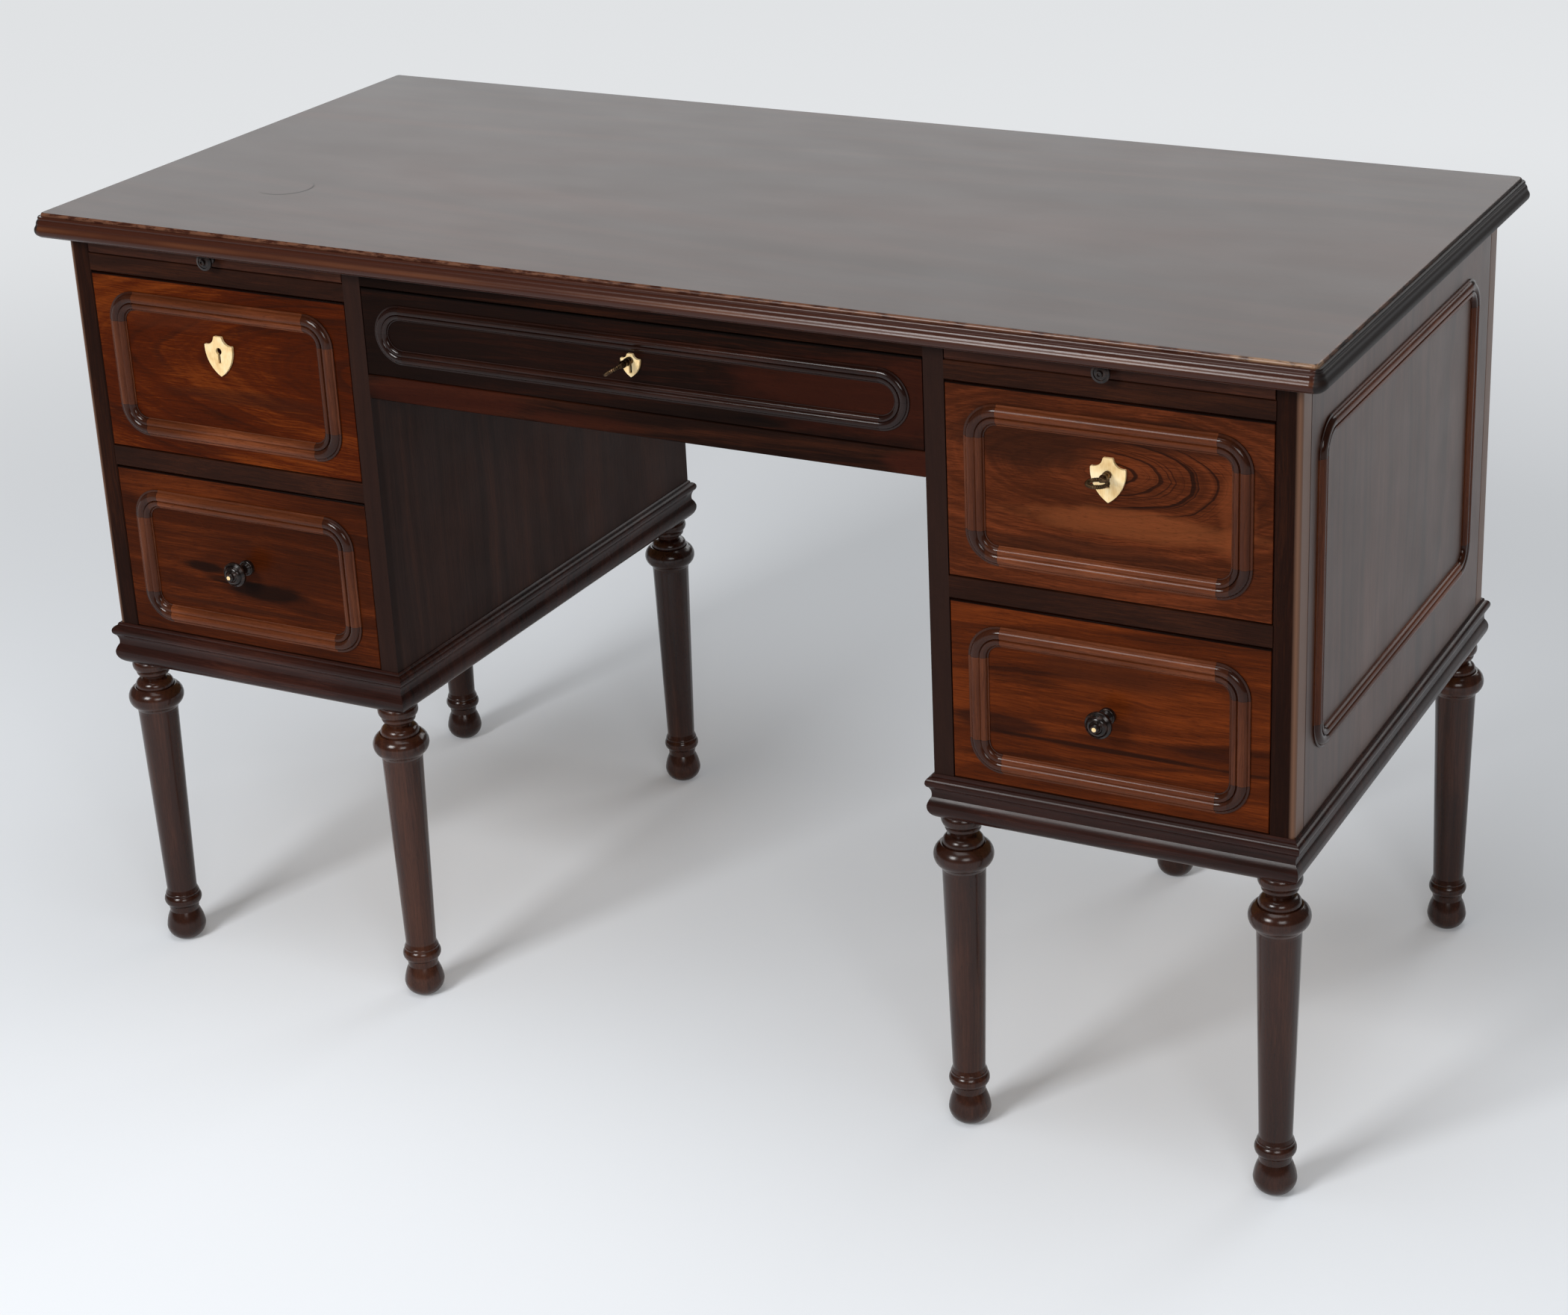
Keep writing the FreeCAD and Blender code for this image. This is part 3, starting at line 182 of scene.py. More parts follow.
def rosewood(name, along=None, **changes):
    # colour follows a level: the noise of the distance from the tree's middle line in band widths, plus
    # clouds, plus fibre, each by its contrast; along(tree, place) may turn the grain
    look = {**woodLook, **changes}
    material, tree, shader, place = newMaterial(name)
    grainAt = along(tree, place) if along else place
    pith, turn = [v * mm for v in look["pith"]], [math.radians(a) for a in look["turn"]]
    leaning = (0.0, math.radians(look["lean"][0]), math.radians(look["lean"][1]))
    moved = addNode(tree, "VectorMath", {0: grainAt, 1: pith}, operation="SUBTRACT")
    turned = addNode(tree, "VectorRotate", {"Vector": moved, "Rotation": turn}, rotation_type="EULER_XYZ")
    grain = addNode(tree, "VectorRotate", {"Vector": turned, "Rotation": leaning}, rotation_type="EULER_XYZ")
    # wander of the bands: slow along the grain, three times quicker across it
    wanderCell = perMetre(look["warpLength"], look["warpLength"] / 3, look["warpLength"] / 3)
    wanderAt = addNode(tree, "VectorMath", {0: grain, 1: wanderCell}, operation="MULTIPLY")
    wander = addNode(tree, "TexNoise", {"Vector": wanderAt, "W": look["seed"], "Scale": 1.0, "Detail": 3.0},
                     out="Color", noise_dimensions="4D")
    wander = addNode(tree, "VectorMath", {0: wander, 1: (0.5, 0.5, 0.5)}, operation="SUBTRACT")
    wander = addNode(tree, "VectorMath", {0: wander, 1: [2 * look["warp"] * mm] * 3}, operation="MULTIPLY")
    bent = addNode(tree, "VectorMath", {0: grain, 1: wander}, operation="ADD")
    bentFlat = addNode(tree, "VectorMath", {0: turned, 1: wander}, operation="ADD")
    across = addNode(tree, "VectorMath", {0: bent, 1: (0.0, 1.0, 1.0)}, operation="MULTIPLY")
    radius = addNode(tree, "VectorMath", {0: across}, out="Value", operation="LENGTH")
    ring = addNode(tree, "Math", {0: radius, 1: perMetre(look["bandWidth"])[0]}, operation="MULTIPLY")
    bands = addNode(tree, "TexNoise", {"W": ring, "Scale": 1.0, "Detail": 4.0, "Roughness": 0.6},
                    noise_dimensions="1D")
    # clouds and veins have seeds of their own, so that they don't follow the wander
    cloudSeed, veinSeed = look["seed"] + 7.3, look["seed"] + 31.7
    long, short = look["cloudSize"]
    cloudAt = addNode(tree, "VectorMath", {0: bentFlat, 1: perMetre(long, short, short)},
                      operation="MULTIPLY")
    cloud = addNode(tree, "TexNoise", {"Vector": cloudAt, "W": cloudSeed, "Scale": 1.0, "Detail": 3.0},
                    noise_dimensions="4D")
    long, short = look["fibreSize"]
    fibreAt = addNode(tree, "VectorMath", {0: bentFlat, 1: perMetre(long, short, short)},
                      operation="MULTIPLY")
    fibre = addNode(tree, "TexNoise", {"Vector": fibreAt, "Scale": 1.0, "Detail": 5.0, "Roughness": 0.7})
    level = 0.5 - 0.5 * (look["band"] + look["cloud"] + look["fibre"])
    for part, weight in ((bands, "band"), (cloud, "cloud"), (fibre, "fibre")):
        level = addNode(tree, "Math", {0: part, 1: look[weight], 2: level}, operation="MULTIPLY_ADD")
    tone = addNode(tree, "ValToRGB", {"Fac": level}, stops=look["stops"])
    tree.links.new(tone, shader.inputs["Base Color"])
    # veins: thin dark rings, kept to one place or to patches of cloud
    veinAt = addNode(tree, "Math", {0: ring, 1: look["veinRate"], 2: veinSeed}, operation="MULTIPLY_ADD")
    vein = addNode(tree, "TexNoise", {"W": veinAt, "Scale": 1.0, "Detail": 2.0, "Roughness": 0.7},
                   noise_dimensions="1D")
    begins, full = look["veinEdge"]
    veinMask = addNode(tree, "MapRange", {"Value": vein, "From Min": begins, "From Max": full})
    if look["veinPlace"]:
        shown = patch(tree, place, *look["veinPlace"], ragged=0.25, soft=0.4)
    else:
        begins, full = look["veinCloud"]
        shown = addNode(tree, "MapRange", {"Value": cloud, "From Min": begins, "From Max": full})
    veinMask = addNode(tree, "Math", {0: veinMask, 1: shown}, operation="MULTIPLY")
    stain(tree, shader, veinMask, look["veinTone"], look["vein"])
    for centre, size, markTone, share in look["marks"]:
        stain(tree, shader, patch(tree, place, centre, size), markTone, share)
    long, short = look["poreSize"]
    poreAt = addNode(tree, "VectorMath", {0: turned, 1: perMetre(long, short, short)}, operation="MULTIPLY")
    pore = addNode(tree, "TexNoise", {"Vector": poreAt, "Scale": 1.0, "Detail": 1.0})
    begins, full = look["poreEdge"]
    poreMask = addNode(tree, "MapRange", {"Value": pore, "From Min": begins, "From Max": full})
    stain(tree, shader, poreMask, look["poreTone"], look["pore"])
    # polish: slightly uneven gloss, and pores that are a hair lower
    long, short = look["smearSize"]
    smearAt = addNode(tree, "VectorMath", {0: place, 1: perMetre(long, short, short)}, operation="MULTIPLY")
    smear = addNode(tree, "TexNoise", {"Vector": smearAt, "Scale": 1.0, "Detail": 3.0})
    begins, full = look["smearEdge"]
    glossy, dull = look["roughness"] - look["smear"], look["roughness"] + look["smear"]
    gloss = addNode(tree, "MapRange", {"Value": smear, "From Min": begins, "From Max": full,
                                       "To Min": glossy, "To Max": dull})
    tree.links.new(gloss, shader.inputs["Roughness"])
    shader.inputs["Specular IOR Level"].default_value = look["specular"]
    dents = addNode(tree, "Math", {0: poreMask, 1: -1.0}, operation="MULTIPLY")
    bump = addNode(tree, "Bump", {"Height": dents, "Strength": 1.0, "Distance": look["poreDepth"] * mm})
    tree.links.new(bump, shader.inputs["Normal"])
    return material


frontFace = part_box("top_drawer_front_right")[0].y
frontPlane = -270.0     # mm, just behind the drawer fronts' faces: figures, marks and the painted gap shadow are set from it


def marksOn(places, depth=40.0):
    # marks on a front: each place is x, z, width, height in mm, colour and share
    return [((x, frontPlane, z), (width, depth, height), tone, share)
            for x, z, width, height, tone, share in places]


# Drawer fronts: each board has a figure of its own.
fronts = {
    "top_drawer_front_right": {
        "pith": (438.0, frontPlane, 660.0), "lean": (0.0, 20.0), "warp": 5.0, "warpLength": 90.0,
        "vein": 0.8, "veinRate": 3.0, "veinPlace": ((505.0, frontPlane, 657.0), (72.0, 400.0, 48.0)),
        "stops": [(0.2, "#1C0B05"), (0.5, "#441E0D"), (0.8, "#75381C")], "fibre": 0.55, "seed": 1.0,
        "marks": marksOn([
            (372.0, 682.0, 60.0, 26.0, "#24120A", 0.75), (500.0, 697.0, 70.0, 13.0, "#24120A", 0.7),
            (440.0, 586.0, 110.0, 12.0, "#2A150C", 0.55), (470.0, 617.0, 100.0, 12.0, "#7E4424", 0.5),
            (560.0, 640.0, 14.0, 40.0, "#7A3E20", 0.4)])},
    "low_drawer_front_right": {
        "pith": (446.0, 40.0, 120.0), "lean": (2.0, 3.0), "bandWidth": 12.0, "cloudSize": (171.43, 60.0),
        "stops": [(0.2, "#200C05"), (0.5, "#4C1F09"), (0.8, "#783612")], "vein": 0.55, "seed": 2.0,
        "marks": marksOn([
            (338.0, 418.0, 44.0, 8.0, "#241009", 0.8), (450.0, 409.0, 120.0, 2.2, "#1D0D07", 0.85),
            (446.0, 482.0, 60.0, 16.0, "#3A1A0C", 0.6), (540.0, 420.0, 34.0, 4.0, "#2A120A", 0.6)])},
    "top_drawer_front_left": {
        "pith": (-470.0, -330.0, 650.0), "lean": (0.0, -14.0), "bandWidth": 14.0,
        "stops": [(0.2, "#200A02"), (0.5, "#451703"), (0.8, "#7C3A10")], "vein": 0.45, "seed": 3.0,
        "marks": marksOn([
            (-510.0, 690.0, 60.0, 16.0, "#4A200E", 0.5), (-420.0, 615.0, 90.0, 7.0, "#2C1208", 0.5)])},
    "low_drawer_front_left": {
        "pith": (-446.0, 60.0, 200.0), "lean": (1.0, -3.0), "bandWidth": 13.0,
        "stops": [(0.2, "#1C0A04"), (0.5, "#3C1706"), (0.8, "#672E10")], "vein": 0.4, "seed": 4.0,
        "marks": marksOn([
            (-500.0, 434.0, 24.0, 5.5, "#100704", 0.85), (-425.0, 418.0, 44.0, 9.0, "#100704", 0.85),
            (-466.0, 424.0, 34.0, 3.5, "#160904", 0.75), (-470.0, 396.0, 90.0, 3.0, "#2A1208", 0.6)])},
    "centre_drawer_front": {
        "pith": (150.0, -200.0, 560.0), "lean": (1.5, 4.0),
        "stops": [(0.2, "#080403"), (0.5, "#160A06"), (0.8, "#38180C")], "vein": 0.7, "seed": 5.0,
        "marks": marksOn([
            (-110.0, 700.0, 150.0, 60.0, "#170C09", 0.55), (240.0, 698.0, 130.0, 34.0, "#3A170C", 0.5)])},
}
materials = {node: rosewood(f"polishedRosewood_{node}", **look) for node, look in fronts.items()}

# The rest of the case: boards that stand have their grain upright.
upright = {"turn": (0.0, 90.0, 0.0), "pith": (300.0, 200.0, 0.0)}
materials.update({
    # the top and the outer panels reflect more, because their polish is thicker
    "top_rosewood": rosewood(
        "polishedRosewoodTop", stops=[(0.2, "#261813"), (0.5, "#3A241B"), (0.8, "#503024")],
        pith=(100.0, 0.0, 420.0), lean=(2.0, 1.0), bandWidth=22.0, warp=10.0, warpLength=500.0,
        cloudSize=(571.43, 200.0), fibre=0.35, vein=0.12, veinRate=0.5, pore=0.2, roughness=0.4,
        smear=0.012, specular=0.25),
    "case_rosewood": rosewood(
        "polishedRosewoodCase", stops=[(0.2, "#2E1C14"), (0.5, "#50362B"), (0.8, "#6E5145")], **upright,
        lean=(1.0, 1.0), band=0.3, vein=0.3, pore=0.3, roughness=0.34, smear=0.02, specular=0.38),
    # posts and rails are stained darker, so that the drawers stand out between them
    "post_rosewood": rosewood(
        "polishedRosewoodPosts", stops=[(0.2, "#100603"), (0.5, "#1E0D07"), (0.8, "#381B0D")], **upright,
        lean=(1.0, 1.0), vein=0.4, specular=0.04),
    # the kneehole's sides, seldom rubbed, are dull
    "inner_rosewood": rosewood(
        "polishedRosewoodInner", stops=[(0.2, "#1C100C"), (0.5, "#33201A"), (0.8, "#4A2C20")], **upright,
        vein=0.3, roughness=0.45, specular=0.08),
    "rail_rosewood": rosewood(
        "polishedRosewoodRails", stops=[(0.2, "#120804"), (0.5, "#26120A"), (0.8, "#472413")],
        pith=(100.0, 250.0, 500.0), lean=(1.0, 2.0), veinRate=0.6, specular=0.05),
    # near black, with three redder places
    "apron_rosewood": rosewood(
        "polishedRosewoodApron", stops=[(0.2, "#0B0503"), (0.5, "#1A0C07"), (0.8, "#361A0E")],
        pith=(0.0, -200.0, 560.0), lean=(1.0, 2.0), bandWidth=8.0, vein=0.7,
        marks=marksOn([
            (-190.0, 645.0, 90.0, 14.0, "#3A160C", 0.5), (-60.0, 640.0, 60.0, 7.0, "#34150B", 0.5),
            (275.0, 642.0, 30.0, 12.0, "#401A0F", 0.5)], depth=60.0)),
    # mouldings and legs are glossier, as turned and moulded work takes more polish
    "moulding_rosewood": rosewood(
        "polishedRosewoodBase", stops=[(0.2, "#160A07"), (0.5, "#2A140F"), (0.8, "#4A281D")],
        pith=(0.0, 300.0, 200.0), bandWidth=8.0, roughness=0.26, specular=0.14),
    "leg_rosewood": rosewood(
        "polishedRosewoodLegs", stops=[(0.2, "#170A07"), (0.5, "#30180F"), (0.8, "#573221")],
        turn=upright["turn"], pith=(300.0, 100.0, 0.0), band=0.35, fibre=0.4, vein=0.2, roughness=0.2,
        specular=0.32),
    # the slides' edges keep a soft sheen
    "slide_rosewood": rosewood(
        "polishedRosewoodSlides", stops=[(0.2, "#1C0D08"), (0.5, "#361B11"), (0.8, "#5A3220")],
        pith=(0.0, 200.0, 600.0), specular=0.08),
})

# Raised frames: straight lengths of red-brown rosewood, and corner pieces cut across the grain, which
# take more stain and look near black and glossy.
frameLook = {
    "corner": 30.0, "width": 19.0, "joint": 0.35,     # mm: corner pieces, straight lengths, gap between
    "light": {"stops": [(0.2, "#2C1409"), (0.5, "#5A2D17"), (0.8, "#8F5131")], "roughness": 0.24,
              "specular": 0.12},
    "dark": {"stops": [(0.2, "#0F0705"), (0.5, "#1E0E09"), (0.8, "#3E2016")], "roughness": 0.17,
             "specular": 0.16},
    "uprightTone": ("#240F08", 0.45),
    "cornerTone": ("#190B08", 0.68), "cornerRoughness": 0.14, "cornerCoat": 0.16,
    "seedPerMetre": 9.0,
}


def frameWood(node, lying, finish="light"):
    # lying is the axis of the frame's longer rails: 0 for a drawer, 1 for an outer side
    low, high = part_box(node)
    middle, half = (low + high) / 2, (high - low) / 2
    cornerReach = min(frameLook["corner"] * mm, half.z) + frameLook["joint"] * mm

    def beyond(tree, place, axis, reach):
        # 1 where a point is further than reach from the frame's middle along the axis
        away = addNode(tree, "SeparateXYZ", {0: place}, out=axis)
        away = addNode(tree, "Math", {0: away, 1: middle[axis]}, operation="SUBTRACT")
        away = addNode(tree, "Math", {0: away}, operation="ABSOLUTE")
        return addNode(tree, "Math", {0: away, 1: reach}, operation="GREATER_THAN")

    def uprightMask(tree, place):
        return beyond(tree, place, lying, half[lying] - frameLook["width"] * mm)

    def cornerMask(tree, place):
        sideways, upwards = (beyond(tree, place, axis, half[axis] - cornerReach) for axis in (lying, 2))
        return addNode(tree, "Math", {0: sideways, 1: upwards}, operation="MULTIPLY")

    def along(tree, place):
        # upright lengths have their grain upright, so there the long axis and Z change places
        parts = addNode(tree, "SeparateXYZ", {0: place}, out=None).outputs
        isUpright = uprightMask(tree, place)
        first = addNode(tree, "Mix", {0: isUpright, 2: parts[lying], 3: parts[2]})
        last = addNode(tree, "Mix", {0: isUpright, 2: parts[2], 3: parts[lying]})
        return addNode(tree, "CombineXYZ", {0: first, 1: parts[1 - lying], 2: last})

    material = rosewood(f"polishedRosewood_{node}", along=along, pith=(200.0, 300.0, 400.0), bandWidth=7.0,
                        band=0.3, fibre=0.45, vein=0.25, seed=middle.x * frameLook["seedPerMetre"],
                        **frameLook[finish])
    finishOver(material, uprightMask, *frameLook["uprightTone"])
    return finishOver(material, cornerMask, *frameLook["cornerTone"], roughness=frameLook["cornerRoughness"],
                      coat=frameLook["cornerCoat"])


for side in ("right", "left"):
    for kind, lying in (("top_drawer_frame", 0), ("low_drawer_frame", 0), ("side_frame", 1)):
        materials[f"{kind}_{side}"] = frameWood(f"{kind}_{side}", lying)
materials["centre_drawer_frame"] = frameWood("centre_drawer_frame", 0, "dark")

# Edges of the case: the stiles are darker in front, the posts have a paler colour painted on their outer
# sides as sheen, with a real gloss there, and a painted shadow lies along the fronts' upper edges, where the
# gap above them is in shade.
edgeLook = {
    "stile": (-262.0, -258.0),     # mm, between which the kneehole sides' front edge ends
    "stileTone": ("#1A0A05", 0.75),
    "postCorner": (5.5, 2.0),      # mm in from the outer side, between which the rounded corner begins
    # a paler colour painted on the posts' outer sides as sheen, with their real roughness and coat
    "postSheenTone": ("#835C44", 0.62), "postRoughness": 0.34, "postCoat": 0.5,
    "gapShadowHeight": (1.7, 1.02),    # mm below a front's upper edge: where the painted shadow begins and is full
    "gapShadowDepth": (1.0, 3.0),      # mm behind frontPlane, between which it ends
    "gapShadowTone": ("#060302", 0.95),
}
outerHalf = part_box("outer_posts")[1].x


def stileEdge(tree, place):
    # the front edge of a pedestal's inner side, which shows as a stile
    back = addNode(tree, "SeparateXYZ", {0: place}, out=1)
    begins, ends = (v * mm for v in edgeLook["stile"])
    limits = {"From Min": begins, "From Max": ends, "To Min": 1.0, "To Max": 0.0}
    return addNode(tree, "MapRange", {"Value": back, **limits})


def outerSheenSide(tree, place):
    # the rounded corner and the outer side of each post: a paler colour painted there as sheen, and a real
    # coat and roughness of their own
    away = addNode(tree, "SeparateXYZ", {0: place}, out=0)
    away = addNode(tree, "Math", {0: away}, operation="ABSOLUTE")
    begins, full = (outerHalf - v * mm for v in edgeLook["postCorner"])
    return addNode(tree, "MapRange", {"Value": away, "From Min": begins, "From Max": full})


def gapShadowUnder(upperEdge):
    # painted shadow: a thin dark line under a front's upper edge, where the gap above it is in shade, kept to
    # the face and the start of the gap
    def paintedGapShadow(tree, place):
        parts = addNode(tree, "SeparateXYZ", {0: place}, out=None).outputs
        begins, full = (upperEdge - v * mm for v in edgeLook["gapShadowHeight"])
        high = addNode(tree, "MapRange", {"Value": parts[2], "From Min": begins, "From Max": full})
        begins, ends = ((frontPlane + v) * mm for v in edgeLook["gapShadowDepth"])
        near = addNode(tree, "MapRange", {"Value": parts[1], "From Min": begins, "From Max": ends,
                                          "To Min": 1.0, "To Max": 0.0})
        return addNode(tree, "Math", {0: high, 1: near}, operation="MULTIPLY")
    return paintedGapShadow


finishOver(materials["inner_rosewood"], stileEdge, *edgeLook["stileTone"])
# painted sheen on the posts' outer sides, with a real coat
finishOver(materials["post_rosewood"], outerSheenSide, *edgeLook["postSheenTone"], roughness=edgeLook["postRoughness"],
           coat=edgeLook["postCoat"], coatRoughness=edgeLook["postRoughness"])
# a painted shadow along each front's upper edge
for node in fronts:
    finishOver(materials[node], gapShadowUnder(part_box(node)[1].z), *edgeLook["gapShadowTone"])
print("rosewood made")

# Wear on the top: the small bead along the edge is rubbed to bare wood, most at the front right corner, the
# round nose in front has a lighter band, partly rubbed and partly a painted highlight, and a glass has left a
# faint ring near the left end.
topWear = {
    "flatHalf": (628.4, 293.3),                            # mm, half the flat inside the beads
    "bead": (1.1, 0.7, 1.4),                               # mm: its middle beyond the flat, full wear, none
    "beadFrom": 776.8,                                     # mm up, below which there is no bead
    "frontReach": (-200.0, 100.0), "backShare": 0.15,      # mm, between which the wear fades to its share
    "wearCell": (16.667, 16.667, 3.3333),                  # mm, of chips and rubbed places
    "wearNoise": (0.43, 0.53), "cornerNoise": (0.36, 0.46),     # levels between which wear begins
    "cornerPlace": ((622.0, -287.0, 778.0), (60.0, 14.0, 12.0)),
    "roundest": 766.5, "noseRubAndHighlightHeight": 3.5,                   # mm up where the nose stands out most
    "noseRubAndHighlightCell": (142.86, 50.0, 16.667), "noseRubAndHighlightNoise": (0.3, 0.65),
    "ringCentre": (-462.0, -130.0, 780.0), "ringRadius": 27.0, "ringWidth": 1.6,
    "ringPlace": ((-440.0, -145.0, 780.0), (30.0, 30.0, 30.0)),     # where the ring still shows
    "endFrom": (0.2, 1.2), "mouldFrom": 0.2,               # mm out from the flat
}
topMiddle = (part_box("top")[0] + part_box("top")[1]) / 2


def beyondFlat(tree, place):
    # how far a point lies outside the flat of the top, in metres
    fromMiddle = addNode(tree, "VectorMath", {0: place, 1: topMiddle}, operation="SUBTRACT")
    parts = addNode(tree, "SeparateXYZ", {0: fromMiddle}, out=None).outputs
    outside = []
    for axis, half in enumerate(topWear["flatHalf"]):
        away = addNode(tree, "Math", {0: parts[axis]}, operation="ABSOLUTE")
        outside.append(addNode(tree, "Math", {0: away, 1: half * mm}, operation="SUBTRACT"))
    return addNode(tree, "Math", {0: outside[0], 1: outside[1]}, operation="MAXIMUM")


def edgeWear(tree, place, levels="wearNoise"):
    # near the bead's middle, above its foot, mostly in front, and where the noise is high
    parts = addNode(tree, "SeparateXYZ", {0: place}, out=None).outputs
    wear = nearTo(tree, beyondFlat(tree, place), *(v * mm for v in topWear["bead"]))
    isHigh = addNode(tree, "Math", {0: parts[2], 1: topWear["beadFrom"] * mm}, operation="GREATER_THAN")
    begins, ends = (v * mm for v in topWear["frontReach"])
    inFront = addNode(tree, "MapRange", {"Value": parts[1], "From Min": begins, "From Max": ends,
                                         "To Min": 1.0, "To Max": topWear["backShare"]})
    noiseAt = addNode(tree, "VectorMath", {0: place, 1: perMetre(*topWear["wearCell"])}, operation="MULTIPLY")
    noise = addNode(tree, "TexNoise", {"Vector": noiseAt, "Scale": 1.0, "Detail": 5.0, "Roughness": 0.7})
    begins, full = topWear[levels]
    worn = addNode(tree, "MapRange", {"Value": noise, "From Min": begins, "From Max": full})
    for mask in (isHigh, inFront, worn):
        wear = addNode(tree, "Math", {0: wear, 1: mask}, operation="MULTIPLY")
    return wear


def cornerWear(tree, place):
    # more of the same wear, near one corner only
    near = patch(tree, place, *topWear["cornerPlace"], ragged=0.6, cell=5.0, soft=0.1)
    bead = edgeWear(tree, place, "cornerNoise")
    return addNode(tree, "Math", {0: near, 1: bead}, operation="MULTIPLY")


def glassRing(tree, place):
    # near a circle on the top, and only in one uneven place of it
    centre = [v * mm for v in topWear["ringCentre"]]
    away = addNode(tree, "VectorMath", {0: place, 1: centre}, operation="SUBTRACT")
    distance = addNode(tree, "VectorMath", {0: away}, out="Value", operation="LENGTH")
    ring = nearTo(tree, distance, topWear["ringRadius"] * mm, 0.0, topWear["ringWidth"] * mm)
    shown = patch(tree, place, *topWear["ringPlace"], ragged=0.4)
    return addNode(tree, "Math", {0: ring, 1: shown}, operation="MULTIPLY")


def noseRubAndHighlight(tree, place):
    # a lighter band on the front's round nose where it stands out most: partly rubbed by hands and sleeves,
    # partly a painted highlight
    parts = addNode(tree, "SeparateXYZ", {0: place}, out=None).outputs
    rub = nearTo(tree, parts[2], topWear["roundest"] * mm, 0.0, topWear["noseRubAndHighlightHeight"] * mm,
                 interpolation_type="SMOOTHSTEP")
    noiseAt = addNode(tree, "VectorMath", {0: place, 1: perMetre(*topWear["noseRubAndHighlightCell"])}, operation="MULTIPLY")
    noise = addNode(tree, "TexNoise", {"Vector": noiseAt, "Scale": 1.0, "Detail": 4.0})
    begins, full = topWear["noseRubAndHighlightNoise"]
    worn = addNode(tree, "MapRange", {"Value": noise, "From Min": begins, "From Max": full})
    frontEdge = topMiddle.y - topWear["flatHalf"][1] * mm
    inFront = addNode(tree, "Math", {0: parts[1], 1: frontEdge}, operation="LESS_THAN")
    for mask in (worn, inFront):
        rub = addNode(tree, "Math", {0: rub, 1: mask}, operation="MULTIPLY")
    return rub


def endEdge(tree, place):
    # end grain on the two short edges, which took more stain
    away = addNode(tree, "SeparateXYZ", {0: place}, out=0)
    away = addNode(tree, "Math", {0: away}, operation="ABSOLUTE")
    begins, full = ((topWear["flatHalf"][0] + v) * mm for v in topWear["endFrom"])
    return addNode(tree, "MapRange", {"Value": away, "From Min": begins, "From Max": full})


def mouldedEdge(tree, place):
    # everything outside the flat, which was stained darker
    outside = beyondFlat(tree, place)
    return addNode(tree, "Math", {0: outside, 1: topWear["mouldFrom"] * mm}, operation="GREATER_THAN")


# colour, share and, where it changes, roughness of each place, laid on in this order
# the nose's lighter band is partly rubbed wood and partly a painted highlight
topPlaces = [(mouldedEdge, "#35170C", 0.88, 0.22), (noseRubAndHighlight, "#8A5636", 0.22, None),
             (endEdge, "#0C0706", 0.9, 0.5), (edgeWear, "#7C5540", 0.5, None),
             (cornerWear, "#A08064", 0.55, None), (glassRing, "#0C0706", 0.9, 0.55)]
for mask, tone, share, roughness in topPlaces:
    finishOver(materials["top_rosewood"], mask, tone, share, roughness)


# Plain timbers inside: oak, pine and mahogany, planed and left unpolished. Their pores and rings show.
def plainTimber(name, stops, **changes):
    return rosewood(name, stops=stops, roughness=0.6, specular=0.3, vein=0.12, cloud=0.4, fibre=0.7,
                    pore=0.25, bandWidth=6.0, warp=5.0, **changes)


materials.update({
    "lining_mahogany": plainTimber("planedMahogany", [(0.2, "#4E2C1A"), (0.5, "#6F4226"), (0.8, "#8A5733")]),
    "bottom_oak": plainTimber("planedOakBottoms", [(0.2, "#6E5233"), (0.5, "#8C6B43"), (0.8, "#A5835A")],
                              turn=(0.0, 0.0, 90.0)),
    "inner_oak": plainTimber("planedOakInner", [(0.2, "#5F4529"), (0.5, "#7C5C38"), (0.8, "#94734A")]),
    "inner_pine": plainTimber("planedPine", [(0.2, "#8A6436"), (0.5, "#A67E4B"), (0.8, "#BC9661")]),
})

# Ebonised wood: turned fruitwood, stained black and polished. Almost black, brown where it wears.
ebonyLook = {"stops": [(0.35, "#0D0807"), (0.55, "#1E1410"), (0.75, "#3A2822")], "rubSize": 3.8462,     # mm
             "roughness": (0.12, 0.3), "specular": 0.3}


def ebonisedWood():
    material, tree, shader, place = newMaterial("ebonisedWood")
    rub = addNode(tree, "TexNoise",
                  {"Vector": place, "Scale": perMetre(ebonyLook["rubSize"])[0], "Detail": 3.0})
    tone = addNode(tree, "ValToRGB", {"Fac": rub}, stops=ebonyLook["stops"])
    tree.links.new(tone, shader.inputs["Base Color"])
    glossy, dull = ebonyLook["roughness"]
    gloss = addNode(tree, "MapRange", {"Value": rub, "To Min": glossy, "To Max": dull})
    tree.links.new(gloss, shader.inputs["Roughness"])
    shader.inputs["Specular IOR Level"].default_value = ebonyLook["specular"]
    return material


# Bone: sawn, filed and polished. Cream, with fine grain and yellowing in patches.
boneLook = {"stops": [(0.3, "#DAB274"), (0.5, "#EDCF98"), (0.7, "#F7E2B8")], "roughness": 0.35,
            "streakSize": (1.1111, 1.1111, 6.25),      # mm, coarser than the real 0.3 mm to show
            "patchSize": 11.111,                       # mm
            "streak": 0.3, "glow": 0.08, "glowDepth": (0.003, 0.002, 0.001)}


